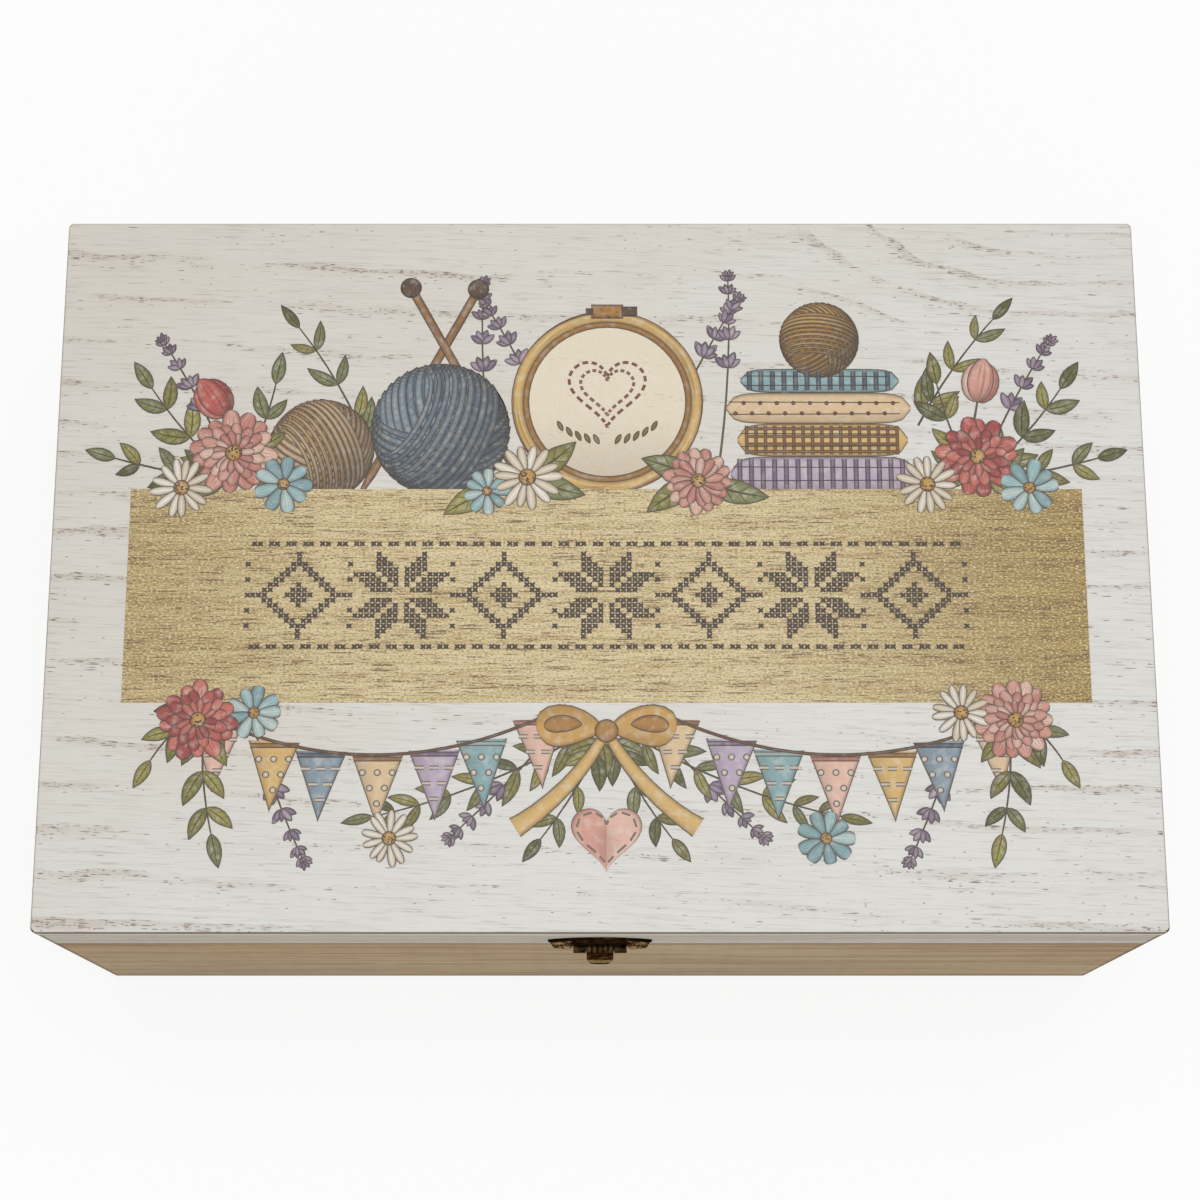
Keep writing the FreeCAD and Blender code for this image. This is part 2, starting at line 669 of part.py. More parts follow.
nails("hasp_nails", "lobe_spacing", "lobe_height", HASP_SEAT)
nails("catch_nails", "catch_nail_spacing", "-catch_nail_drop", "catch_thickness")
for wall, spacing, height, seat in (
    (lid["front"], "lobe_spacing", "hasp_axis_rise + lobe_height", HASP_SEAT),
    (base["front"], "catch_nail_spacing", f"{HASP_Z} - catch_nail_drop", "catch_thickness"),
):
    prick(wall, [(f"-{spacing}/2", height), (f"{spacing}/2", height)], NAIL_HOLE,
          f"nail_length - {seat} + fastener_clearance")


# Every piece is sound before any is written

doc.recompute()
for item in doc.Objects:
    if {"Invalid", "Error"} & set(item.State):
        raise RuntimeError(f"{item.Label} failed: {item.State}")
for node in nodes:
    if node.Shape.isNull() or not node.Shape.isValid() or not node.Shape.Solids:
        raise RuntimeError(f"{node.Label} is not a sound solid")

os.makedirs("parts", exist_ok=True)
for node in nodes:
    node.Shape.exportStep(f"parts/{node.Label}.step")
    print(node.Label, len(node.Shape.Solids), round(node.Shape.Volume))
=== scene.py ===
import json
import math

import bmesh
import bpy
import numpy as np
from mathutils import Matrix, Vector

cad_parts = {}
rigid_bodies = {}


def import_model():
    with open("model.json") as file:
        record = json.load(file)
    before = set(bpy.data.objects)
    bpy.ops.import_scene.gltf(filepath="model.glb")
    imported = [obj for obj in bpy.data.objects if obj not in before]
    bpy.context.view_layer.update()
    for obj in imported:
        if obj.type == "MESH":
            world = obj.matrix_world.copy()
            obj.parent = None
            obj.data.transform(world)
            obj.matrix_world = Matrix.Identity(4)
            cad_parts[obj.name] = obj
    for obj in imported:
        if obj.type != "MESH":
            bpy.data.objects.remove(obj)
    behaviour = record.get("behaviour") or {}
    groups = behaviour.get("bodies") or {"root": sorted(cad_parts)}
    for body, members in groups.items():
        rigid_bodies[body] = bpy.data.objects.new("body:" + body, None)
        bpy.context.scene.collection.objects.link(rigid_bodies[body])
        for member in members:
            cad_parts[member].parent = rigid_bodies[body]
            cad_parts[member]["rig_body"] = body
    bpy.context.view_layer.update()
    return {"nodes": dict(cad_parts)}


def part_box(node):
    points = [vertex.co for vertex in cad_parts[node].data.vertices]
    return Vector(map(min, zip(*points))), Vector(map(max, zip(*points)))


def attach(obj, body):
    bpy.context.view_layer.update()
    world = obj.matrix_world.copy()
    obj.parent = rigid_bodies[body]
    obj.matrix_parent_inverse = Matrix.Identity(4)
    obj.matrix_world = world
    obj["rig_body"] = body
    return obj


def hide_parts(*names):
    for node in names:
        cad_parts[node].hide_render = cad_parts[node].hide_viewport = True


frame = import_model()


# Base walls: four boards of tan wood, rabbeted at the corners and sanded flush, so that the
# front and back boards show a strip of end grain on the sides. Inside the wood is left bare.

MM = 0.001


def box(node):
    """A node's lowest and highest corner, in millimetres."""
    return [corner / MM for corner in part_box(node)]


HALF_WIDTH = box("base_front_wall")[1].x
HALF_DEPTH = box("base_back_wall")[1].y
BASE_TOP = box("base_front_wall")[1].z


def colour(red, green, blue):
    """A colour as a screen shows it, 0 to 255, in the linear values that shaders take."""
    shown = np.array((red, green, blue)) / 255
    linear = np.where(shown <= 0.04045, shown / 12.92, ((shown + 0.055) / 1.055) ** 2.4)
    return (*linear, 1.0)


class Finish:
    """One value, colour or direction on its way through the nodes of a material."""

    def __init__(self, tree, socket=None):
        self.tree = tree
        self.socket = socket

    def feed(self, made, sockets):
        """Set a node's sockets to numbers or colours, or link them to other values."""
        for name, value in sockets.items():
            if isinstance(value, Finish):
                self.tree.links.new(value.socket, made.inputs[name])
            else:
                made.inputs[name].default_value = value

    def node(self, kind, settings=None, sockets=None, output=0):
        """Add a node of this kind, with its settings first and its sockets after; gives one output."""
        made = self.tree.nodes.new(f"ShaderNode{kind}")
        for name, value in (settings or {}).items():
            setattr(made, name, value)
        self.feed(made, sockets or {})
        return Finish(self.tree, made.outputs[output])

    def maths(self, operation, *values):
        """A Math node on one, two or three values."""
        return self.node("Math", {"operation": operation}, dict(enumerate(values)))

    def __add__(self, other):
        return self.maths("ADD", self, other)

    __radd__ = __add__

    def __sub__(self, other):
        return self.maths("SUBTRACT", self, other)

    def __rsub__(self, other):
        return self.maths("SUBTRACT", other, self)

    def __mul__(self, other):
        return self.maths("MULTIPLY", self, other)

    __rmul__ = __mul__

    def __truediv__(self, other):
        return self.maths("DIVIDE", self, other)

    def __pow__(self, other):
        return self.maths("POWER", self, other)

    def __abs__(self):
        return self.maths("ABSOLUTE", self)

    def __lt__(self, other):
        return self.maths("LESS_THAN", self, other)

    def least(self, other):
        return self.maths("MINIMUM", self, other)

    def most(self, other):
        return self.maths("MAXIMUM", self, other)

    def rise(self, low, high):
        """Smoothly from 0 where the value is low to 1 where it is high."""
        ends = {"Value": self, "From Min": low, "From Max": high}
        return self.node("MapRange", {"interpolation_type": "SMOOTHSTEP"}, ends)

    def mix(self, low, high):
        """The colour that goes from low to high as this value goes from 0 to 1."""
        return self.node("Mix", {"data_type": "RGBA"}, {0: self, 6: low, 7: high}, 2)

    def split(self):
        """The three parts of a direction or place."""
        made = self.node("SeparateXYZ", sockets={0: self})
        return [Finish(self.tree, output) for output in made.socket.node.outputs]

    def point(self, x, y, z):
        """A place made of three values."""
        return self.node("CombineXYZ", sockets={0: x, 1: y, 2: z})

    def noise(self, x, y, z, detail=2.0):
        """Soft noise from 0 to 1 at a place given in units of its grain."""
        sockets = {"Vector": self.point(x, y, z), "Scale": 1.0, "Detail": detail}
        return self.node("TexNoise", sockets=sockets)

    def flecks(self, x, y, z, share):
        """Short flecks, one in a cell at most, in this share of the cells: 1 in a fleck's middle and
        0 outside."""
        sockets = {"Vector": self.point(x, y, z), "Scale": 1.0}
        near = self.node("TexVoronoi", {}, sockets, "Distance")
        lot = self.node("TexVoronoi", {}, sockets, "Color").split()[0]
        return near.rise(0.42, 0.18) * (lot < share)

    def place(self):
        """The place on the object, in millimetres, as three values."""
        spot = self.node("TexCoord", output="Object")
        return self.node("VectorMath", {"operation": "SCALE"}, {0: spot, 3: 1 / MM}).split()

    def kept(self, name, output):
        """What the mesh keeps at each of its points under a name."""
        return self.node("Attribute", {"attribute_name": name}, output=output)

    def bump(self, height, depth):
        """Surface relief from a height that goes from 0 to 1, this many millimetres deep."""
        return self.node("Bump", sockets={"Height": height, "Distance": depth * MM, "Strength": 1.0})


def new_finish(name):
    """An empty material and the start of its nodes."""
    material = bpy.data.materials.new(name)
    material.use_nodes = True
    return material, Finish(material.node_tree)


def coat(material, **sockets):
    """Link or set the sockets of a material's shader, whose names have underscores for spaces."""
    shader = material.node_tree.nodes["Principled BSDF"]
    named = {name.replace("_", " "): value for name, value in sockets.items()}
    Finish(material.node_tree).feed(shader, named)
    return material


def timber(start, along, pith, ring_width):
    """Solid timber that grew round a pith line along the grain: the distance from that line, bent by
    slow noise, counts the year rings; fibres, streaks and pores are noise drawn out along the grain.
    Gives the share of the way through a ring, the fibres, streaks and pores, each from 0 to 1."""
    parts = start.place()
    length, side, up = (parts[(along + number) % 3] for number in range(3))
    bend = start.noise(length / 240, side / 40, up / 40)
    side_off = side - pith[0]
    up_off = up - pith[1]
    radius = (side_off * side_off + up_off * up_off) ** 0.5 + bend * 16
    ring = start.maths("FRACT", radius / ring_width)
    fibre = start.noise(length / 18, side / 0.5, up / 0.5, detail=3.0)
    streaks = start.noise(length / 70, side / 3.4, up / 3.4, detail=3.0)
    short_pores = start.flecks(length / 6, side / 0.4, up / 0.4, 0.2)
    long_pores = start.flecks(length / 18, side / 0.6, up / 0.6, 0.12)
    return ring, fibre, streaks, short_pores.most(long_pores * 0.8)


# Each range of tones is the late wood's, the early wood's, the palest fibres' and the pores'.
TAN = (colour(154, 125, 91), colour(194, 168, 129), colour(206, 182, 145), colour(122, 90, 58))
PALE = (colour(203, 178, 142), colour(221, 200, 167), colour(230, 212, 182), colour(178, 148, 110))
SANDED = colour(104, 72, 40)
STAIN_DEPTH = 1.0
CORNER_RUB = (2.7, 1.7)
FOOT_RUB = (4.6, 2.0)
RIM_RUB = (BASE_TOP - 4.0, BASE_TOP - 1.5)
RIM_END = BASE_TOP + 0.05


def outside(start):
    """1 on the outer faces of the box, and 0 further in than the stain goes."""
    x, y = start.place()[:2]
    inwards = (HALF_WIDTH - abs(x)).least(HALF_DEPTH - abs(y))
    return inwards.rise(STAIN_DEPTH, STAIN_DEPTH / 2)


def rubbed_corners(start):
    """1 where the stain is dark: on the bottom edge, on the rim under the lid, and on the rounded upright
    corners, where the distances from two outer faces add up to little."""
    x, y, z = start.place()
    corner = (HALF_WIDTH - abs(x) + (HALF_DEPTH - abs(y))).rise(*CORNER_RUB)
    rim = z.rise(*RIM_RUB) * (z < RIM_END)
    return (corner * 0.85).most(z.rise(*FOOT_RUB)).most(rim * 0.7)


def grained(timbered, tones):
    """The colours of wood: late wood darker than early wood, streaked by fibres, with darker pores."""
    ring, fibre, streaks, pores = timbered
    dark, middle, light, pore = tones
    tone = ring.rise(0.4, 0.97) * 0.14 + (1 - fibre) * 0.3 + streaks.rise(0.3, 0.7) * 0.32
    body = tone.rise(0.66, 0.1).mix(dark, middle)
    body = fibre.rise(0.52, 0.78).mix(body, light)
    return (pores * 0.62).mix(body, pore)


def wooden(name, along, pith, ring_width, tones, outer=None):
    """Wood of one range of tones, or with another range on its outer faces and rubbed corners there."""
    material, start = new_finish(name)
    timbered = timber(start, along, pith, ring_width)
    body = grained(timbered, tones)
    if outer:
        body = outside(start).mix(body, grained(timbered, outer))
        body = (rubbed_corners(start) * 0.8).mix(body, SANDED)
    fibre, pores = (timbered[1], timbered[3])
    relief = start.bump(fibre * 0.5 - pores * 0.5, 0.06)
    rough = 0.55 + fibre * 0.25
    return coat(material, Base_Color=body, Roughness=rough, Normal=relief, Specular_IOR_Level=0.2)


def placed(name, data):
    """A new object of the scene that holds this mesh, lamp or camera."""
    thing = bpy.data.objects.new(name, data)
    bpy.context.scene.collection.objects.link(thing)
    return thing


def eased(node, width, material):
    """A copy of a CAD node with its doubles merged and its sharp edges eased by a bevel this wide, which
    stands for that node."""
    mesh = bpy.data.meshes.new(f"{node}_eased")
    work = bmesh.new()
    work.from_mesh(frame["nodes"][node].data)
    bmesh.ops.remove_doubles(work, verts=work.verts, dist=0.002 * MM)
    bmesh.ops.dissolve_limit(work, angle_limit=math.radians(0.5), verts=work.verts, edges=work.edges)
    work.to_mesh(mesh)
    work.free()
    mesh.shade_smooth()
    mesh.materials.append(material)
    piece = placed(mesh.name, mesh)
    ease = piece.modifiers.new("eased_edges", "BEVEL")
    ease.width = width * MM
    ease.segments = 2
    ease.limit_method = "ANGLE"
    ease.angle_limit = math.radians(35)
    ease.harden_normals = True
    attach(piece, frame["nodes"][node]["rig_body"])
    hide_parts(node)


# A board's grain runs along an axis, and its pith lies at two distances on the two axes after that.
WALL_ARRIS = 0.2
BOARD_RINGS = 4.4
wall_piths = {
    "front": (0, (-70, -190)),
    "back": (0, (50, -75)),
    "left": (1, (-110, -190)),
    "right": (1, (190, 215)),
}
for side, (along, pith) in wall_piths.items():
    tan_wood = wooden(f"tan_wood_{side}", along, pith, BOARD_RINGS, PALE, TAN)
    eased(f"base_{side}_wall", WALL_ARRIS, tan_wood)


# Base bottom: one thin panel of pale plywood with its grain along the box, let into the rabbets of
# the walls from below and glued there.

pale_board = wooden("pale_board", 0, (40, -260), 9.0, PALE)
eased("base_bottom_panel", WALL_ARRIS, pale_board)


# Tray runners: two strips of pale wood glued along the insides of the side walls. The tray stands
# on them.

pale_runner = wooden("pale_runner", 1, (90, 0), 5.0, PALE)
for side in ("left", "right"):
    eased(f"tray_runner_{side}", WALL_ARRIS, pale_runner)


# Tray: a thin floor under four thin walls of pale wood, with one long and two cross dividers that
# are halved together and let into dadoes. It lifts out by its two finger notches.

TRAY_ARRIS = 0.35
tray_boards = {
    "front": (0, (-30, 70), ("tray_front_wall", "tray_long_divider")),
    "back": (0, (140, 20), ("tray_back_wall", "tray_floor")),
    "left": (1, (10, -60), ("tray_left_wall", "tray_cross_divider_right")),
    "right": (1, (95, 190), ("tray_right_wall", "tray_cross_divider_left")),
}
for side, (along, pith, nodes) in tray_boards.items():
    tray_wood = wooden(f"tray_wood_{side}", along, pith, 6.0, PALE)
    for node in nodes:
        eased(node, TRAY_ARRIS, tray_wood)


# Lid rails: four boards glued under the lid's panel and rabbeted into one frame that meets the
# base's rim, with a thin wash of white outside and bare wood inside.

WASHED = (colour(189, 180, 164), colour(212, 204, 191), colour(220, 212, 200), colour(146, 126, 104))
rail_piths = {
    "front": (0, (-70, 290)),
    "back": (0, (60, 250)),
    "left": (1, (290, -190)),
    "right": (1, (-40, 215)),
}
for side, (along, pith) in rail_piths.items():
    white_rail = wooden(f"white_rail_{side}", along, pith, BOARD_RINGS, PALE, WASHED)
    eased(f"lid_{side}_rail", WALL_ARRIS, white_rail)


# Lid panel: one full-size board of open-pored wood under a thin wash of white. The brown of the
# wood shows in the pores along the year rings and where its edges were sanded through.

LID_UNDER, LID_TOP = (corner.z for corner in box("lid_panel"))
LID_CORNER = 1.5
LID_ARRIS = 0.15
GRAIN_SLANT = 0.035
PITH_BEHIND = 112
PITH_SUNK = 34
PORE_BROWN = colour(112, 88, 70)


def open_pores(start):
    """The lid's grain, seen from above: the year rings are lines of equal distance from a pith line
    behind the back edge, which sinks towards the left end, so the rings sweep down at the right.
    Gives the share of brown that shows through the wash, the fibres, and the early wood."""
    x, level, z = start.place()
    y = level + x * GRAIN_SLANT
    slow = start.noise(x / 120, y / 28, 0.0)
    fine = start.noise(x / 22, y / 5, 3.0)
    sunk = PITH_SUNK - PITH_SUNK * x.rise(45, 140)
    off = PITH_BEHIND - y
    radius = (off * off + sunk * sunk) ** 0.5 + slow * 12 + fine * 3.5
    ring = start.maths("FRACT", radius ** 0.8 / 3.3)
    line = ring.rise(0.0, 0.03) * (ring.rise(0.26, 0.08) + ring.rise(0.8, 0.1) * 0.12)
    patchy = start.noise(x / 36, y / 9, 7.0).rise(0.4, 0.58)
    early = line * (0.08 + 0.92 * patchy)
    early = early * (0.35 + 0.65 * abs(x).rise(60, 145).most(level.rise(40, 90)))
    speckled = x.rise(-20, 110) * level.rise(-20, -80)
    long_pores = start.flecks(x / 5.5, y / 0.38, z / 0.38, early * 0.5 + 0.002)
    middling = start.flecks(x / 2.8, y / 0.36, z / 0.36 + 5, early * 0.6 + 0.003)
    short_pores = start.flecks(x / 1.4, y / 0.4, z / 0.4 + 9, early * 0.3 + 0.006 + speckled * 0.024)
    fibre = start.noise(x / 20, y / 0.5, z / 0.5, detail=3.0)
    worn = start.noise(x / 2.5, y / 1.5, 4.0).rise(0.26, 0.56)
    brown = (long_pores * 0.85).most(middling * 0.85).most(short_pores * 0.8) * worn
    return brown, fibre, early


def sanded_edges(start):
    """1 along the lid's top edges, where sanding went through the wash, in a line of uneven width that is
    broadest round the corners. Inwards is measured from the outline, an arc at each corner."""
    x, y, z = start.place()
    across = (abs(x) - HALF_WIDTH + LID_CORNER).most(0.0)
    deep = (abs(y) - HALF_DEPTH + LID_CORNER).most(0.0)
    inwards = LID_CORNER - (across * across + deep * deep) ** 0.5
    down = LID_TOP - z
    rub = start.noise(x / 4, y / 4, z / 4)
    line = (inwards * 8 + down - (across * deep).rise(0.1, 0.9) * 4).rise(2.2, 1.6)
    return line * rub.rise(0.06, 0.3)


def washed_wood():
    """White wash over brown wood: greyer towards the back left as painted shade, standing in for light that
    falls from the right front, clouded at random; with fibres, brown pores and edges.
    """
    material, start = new_finish("whitewashed_lid")
    brown, fibre, early = open_pores(start)
    x, y, z = start.place()
    slanted = y + x * GRAIN_SLANT
    cloud = start.noise(x / 70, y / 30, 1.0)
    streak = start.noise(x / 30, slanted / 1.1, 6.0, detail=3.0)
    hair = start.noise(x / 9, slanted / 0.32, 12.0)
    hair_share = hair.rise(0.54, 0.72) * (0.25 + streak.rise(0.38, 0.6) * 0.75)
    # Painted shade: the top goes from white towards grey the further it lies to the back left, as if lit from
    # the right front, with slow clouds of tone over it.
    painted_shade_and_cloud = (x * -0.0016 + y * 0.0022 + 0.5 + (cloud - 0.5) * 0.9).rise(0.2, 1.0)
    shown = painted_shade_and_cloud.mix(colour(222, 221, 216), colour(216, 210, 200))
    shown = (fibre.rise(0.5, 0.25) * 0.4).mix(shown, colour(196, 190, 180))
    shown = (streak.rise(0.52, 0.72) * 0.24).mix(shown, colour(192, 185, 175))
    shown = (hair_share * 0.6).mix(shown, colour(166, 156, 145))
    shown = (early * 0.36).mix(shown, colour(186, 173, 158))
    shown = brown.mix(shown, PORE_BROWN)
    side = fibre.rise(0.2, 0.6).mix(WASHED[0], WASHED[1])
    shown = (LID_TOP - z).rise(0.2, 0.5).mix(shown, side)
    sanded = y.rise(85, 98).mix(colour(92, 56, 20), colour(176, 132, 86))
    shown = sanded_edges(start).mix(shown, sanded)
    bare = grained(timber(start, 0, (30, -260), 6.0), PALE)
    shown = (z - LID_UNDER).rise(0.2, 0.1).mix(shown, bare)
    relief = start.bump(fibre * 0.3 + (1 - brown) * 0.7, 0.05)
    rough = 0.5 + brown * 0.3
    return coat(material, Base_Color=shown, Roughness=rough, Normal=relief, Specular_IOR_Level=0.25)


eased("lid_panel", LID_ARRIS, washed_wood())


# Lid print: painted patches, each a thin film of paint that stands on the lid and overlaps the
# films below it. First the banner, an oak board printed across the lid.

FILM = 0.02
LIFTS = 24
INK = colour(48, 36, 27)
BANNER_LEFT, BANNER_RIGHT = (-128.8, 132.3)
BANNER_FRONT, BANNER_BACK = (-38.2, 21.6)
BANNER_MIDDLE = (BANNER_FRONT + BANNER_BACK) / 2
BANNER_LAYER = 9
prints = {}


def ribbon(points, half, columns=3):
    """A patch along a line of points that reaches half, one value or one a point, to each side.
    Its marks are the share of the way along, the share across from -1 to 1, and the way to the rim."""
    way = np.gradient(points, axis=0)
    way /= np.linalg.norm(way, axis=1, keepdims=True)
    aside = np.stack((-way[:, 1], way[:, 0]), 1)
    half = np.broadcast_to(half, len(points))
    across = np.linspace(-1, 1, columns)
    grid = points[:, None] + (half[:, None] * across)[..., None] * aside[:, None]
    share = np.linspace(0, 1, len(points))
    marks = np.stack((
        np.broadcast_to(share[:, None], grid.shape[:2]),
        np.broadcast_to(across, grid.shape[:2]),
        half[:, None] * (1 - abs(across)),
    ), 2)
    return grid, marks


def dab(paint, patch, tint, layer):
    """Keep a patch for one kind of paint, with its colour and how many films lie under it. Patches of one
    layer lie a fraction of a film above each other in turn, so that no two share a face."""
    lift = sum(map(len, prints.values())) % LIFTS / (LIFTS + 1)
    prints.setdefault(paint, []).append((*patch, tint, layer + lift))


def grid_faces(spot):
    """The faces between the rows and columns of a grid of point numbers."""
    return np.stack((spot[:-1, :-1], spot[1:, :-1], spot[1:, 1:], spot[:-1, 1:]), -1).reshape(-1, 4)


def slab_faces(rows, columns):
    """The faces of one film on a grid: up one long wall, over the top, down the other wall and back along
    the underside, and two ends."""
    top = np.arange(rows * columns).reshape(rows, columns)
    foot = rows * columns + np.arange(rows * 2).reshape(rows, 2)
    sides = grid_faces(np.concatenate((foot[:, :1], top, foot[:, ::-1]), 1))
    ends = np.stack((
        np.concatenate((top[0], foot[0, ::-1])),
        np.concatenate((top[-1, ::-1], foot[-1])),
    ))
    return sides, ends


def keep_values(mesh, name, kind, field, values):
    """Keep a value at each point of a mesh, under a name that its material reads."""
    mesh.attributes.new(name, kind, "POINT").data.foreach_set(field, values.ravel())


def lay_print(paint, material):
    """All the patches of one paint as one mesh, whose films go down to just below the lid's face. Of each
    point's ten values three are its place, three the patch's marks there and four its tint."""
    points, faces = ([], [])
    count = 0
    for grid, marks, tint, layer in prints[paint]:
        rows, columns = grid.shape[:2]
        heights = np.full((rows, columns, 1), LID_TOP + FILM * (layer + 1))
        tints = np.broadcast_to(tint, (rows, columns, 4))
        top = np.concatenate((grid, heights, marks, tints), 2)
        foot = top[:, [0, -1]]
        foot[..., 2] = LID_TOP - FILM
        points += [top.reshape(-1, 10), foot.reshape(-1, 10)]
        sides, ends = slab_faces(rows, columns)
        faces += (sides + count).tolist() + (ends + count).tolist()
        count += (columns + 2) * rows
    places, marks, tints = np.split(np.concatenate(points), (3, 6), axis=1)
    mesh = bpy.data.meshes.new(f"lid_print_{paint}")
    mesh.from_pydata((places * MM).tolist(), [], faces)
    keep_values(mesh, "marks", "FLOAT_VECTOR", "vector", marks)
    keep_values(mesh, "tint", "FLOAT_COLOR", "color", tints)
    mesh.materials.append(material)
    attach(placed(mesh.name, mesh), "lid")


def oak_print():
    """Printed oak: short fibres, brown flecks drawn out along the grain, fading darker to both ends."""
    material, start = new_finish("oak_print")
    x, y = start.place()[:2]
    slow = start.noise(x / 70, y / 4, 2.0)
    fibre = start.noise(x / 7, y / 0.34, 5.0, detail=3.0)
    streak = start.noise(x / 26, y / 1.0, 8.0)
    dots = start.noise(x / 0.8, y / 0.42, 1.0)
    tone = fibre * 0.5 + streak * 0.32 + slow * 0.18
    body = tone.rise(0.38, 0.6).mix(colour(172, 147, 98), colour(212, 195, 152))
    dark = tone.rise(0.36, 0.62).mix(colour(112, 84, 26), colour(162, 136, 66))
    ends = x.rise(40, 132).most(x.rise(-60, -130) * 0.6)
    body = (ends * 0.95).mix(body, dark)
    share = 0.2 + slow.rise(0.56, 0.4) * 0.4
    long_flecks = start.flecks(x / 12, y / 0.62, 1.0, share)
    short_flecks = start.flecks(x / 5, y / 0.5, 4.0, share)
    body = (long_flecks * 0.92).most(short_flecks * 0.85).mix(body, colour(94, 60, 22))
    body = (dots.rise(0.5, 0.68) * 0.7).mix(body, colour(228, 212, 168))
    body = (dots.rise(0.48, 0.3) * 0.7).mix(body, colour(108, 80, 38))
    relief = start.bump(fibre * 0.3 - open_pores(start)[0] * 0.6, 0.04)
    return coat(material, Base_Color=body, Roughness=0.5, Normal=relief)


banner_line = np.linspace((BANNER_LEFT, BANNER_MIDDLE), (BANNER_RIGHT, BANNER_MIDDLE), 40)
dab("banner", ribbon(banner_line, BANNER_BACK - BANNER_MIDDLE), INK, BANNER_LAYER)
lay_print("banner", oak_print())


# Stitch border on the banner: a frieze of counted cross stitches in dark brown, where diamonds
# and eight-pointed stars take turns between two rows of running stitch.

STITCH = 1.55
STITCH_PITCH = 0.93
STITCH_REACH = STITCH * 0.6
STITCH_HALVES = 0.34 * np.array((0.55, 0.95, 1, 0.95, 0.55))
STITCH_INK = colour(66, 49, 35)
STITCH_STRAY = 0.04
PRINT_MIDDLE = (BANNER_LEFT + BANNER_RIGHT) / 2
FRIEZE_MIDDLE = -8.4
FRIEZE_FIGURES = 7
FRIEZE_PERIOD = 18
FIGURE_REACH = 8
EDGE_ROW = 10
chance = np.random.default_rng(11)


def frieze():
    """Where the crosses lie, as columns and rows: a figure each period, in turn a ringed diamond and a star
    of eight slanted petals, which fill the cells where the lesser of the two distances from the figure's
    middle and the difference of the two both lie between one and four cells."""
    half = FRIEZE_FIGURES * FRIEZE_PERIOD // 2
    columns, rows = (np.arange(-reach, reach + 1) for reach in (half, EDGE_ROW))
    column, row = np.meshgrid(columns, rows, indexing="ij")
    figure = np.round(column / FRIEZE_PERIOD).astype(int)
    i = abs(column - figure * FRIEZE_PERIOD)
    j = abs(row)
    least = np.minimum(i, j)
    apart = abs(i - j)
    ring = i + j
    star = (least >= 1) & (least <= 4) & (apart >= 1) & (apart <= 4)
    diamond = (ring == 7) | (ring == 6) | (ring <= 2) | ((least == 0) & (ring == 8))
    link = (i == FRIEZE_PERIOD // 2) & ((j == 0) | (j == 3) | (j == 6))
    edge = (j == EDGE_ROW) & (column % 3 != 0)
    filled = (j <= FIGURE_REACH) & np.where(figure % 2 == 0, star, diamond) | link | edge
    return column[filled], row[filled]


for column, row in zip(*frieze()):
    middle = np.array((column * STITCH + PRINT_MIDDLE, row * STITCH * STITCH_PITCH + FRIEZE_MIDDLE))
    for over, heading in enumerate(np.radians((45, 135))):
        way = np.array((math.cos(heading), math.sin(heading) * STITCH_PITCH))
        shares = np.linspace(-STITCH_REACH, STITCH_REACH, len(STITCH_HALVES))[:, None]
        points = middle + shares * way + chance.normal(0, STITCH_STRAY, 2)
        dab("stitches", ribbon(points, STITCH_HALVES), STITCH_INK, BANNER_LAYER + 1 + over)


# Motifs round the banner: painted in thin water colours with darker rims, of knitting and quilting
# things and garden flowers. The lower ones stand behind the banner, the flowers lie over its edge.

OLIVE = (colour(126, 122, 56), colour(152, 146, 76), colour(92, 94, 42), colour(122, 126, 80))
PINK = (colour(206, 152, 136), colour(220, 180, 162), colour(192, 130, 116))
CORAL = (colour(180, 90, 80), colour(196, 112, 98), colour(154, 68, 62))
BLUE = (colour(154, 186, 188), colour(132, 164, 168), colour(178, 200, 198))
STEEL = (colour(112, 130, 146), colour(132, 148, 160), colour(88, 104, 120))
OCHRE = (colour(192, 150, 80), colour(208, 172, 106), colour(164, 120, 58))
LILAC = (colour(162, 146, 168), colour(180, 164, 182), colour(138, 120, 146))
LINEN = (colour(198, 166, 122), colour(214, 186, 146), colour(158, 122, 82))
CREAM = (colour(238, 229, 210), colour(228, 216, 192), colour(244, 237, 222))
BARK = (colour(128, 90, 54), colour(150, 110, 68), colour(84, 60, 40))
PAPER = colour(232, 226, 214)
STROKE_STEPS = 11
LEAST_HALF = 0.02


def close_ends(steps):
    """Shares from 0 to 1 that lie closer at both ends: half of one less the cosine over half a turn."""
    return (1 - np.cos(np.linspace(0, np.pi, steps))) / 2


def spine(start, heading, length, curl, steps=STROKE_STEPS):
    """Points on an arc that leaves start at heading and turns by curl, both in degrees, over its length. At
    each share of the way the chord is the arc's length times sin(h)/h, turned by h, half the turn so far."""
    share = close_ends(steps)
    half = np.radians(curl) * share / 2
    chord = length * share * np.sinc(half / np.pi)
    way = np.radians(heading) + half
    return np.array(start) + chord[:, None] * np.stack((np.cos(way), np.sin(way)), 1)


def swelling(width, near, far, steps=STROKE_STEPS):
    """Half widths of a leaf or petal: share^near times (1 - share)^far, brought to the given full width."""
    share = close_ends(steps)
    middle = near / (near + far)
    most = middle ** near * (1 - middle) ** far
    return np.maximum(width / 2 * share ** near * (1 - share) ** far / most, LEAST_HALF)


def disc(centre, radius, steps=13):
    """A round patch: a square grid of a and b from -1 to 1, bowed out to a circle as x = a sqrt(1 - b^2/2)
    and y = b sqrt(1 - a^2/2)."""
    a, b = np.meshgrid(np.linspace(-1, 1, steps), np.linspace(-1, 1, steps), indexing="ij")
    x = a * np.sqrt(1 - b * b / 2)
    y = b * np.sqrt(1 - a * a / 2)
    grid = np.array(centre) + radius * np.stack((x, y), 2)
    marks = np.stack((x / 2 + 0.5, y, radius * (1 - np.hypot(x, y))), 2)
    return grid, marks


def pick(tints):
    """One of a family of colours, by chance."""
    return tints[chance.integers(len(tints))]


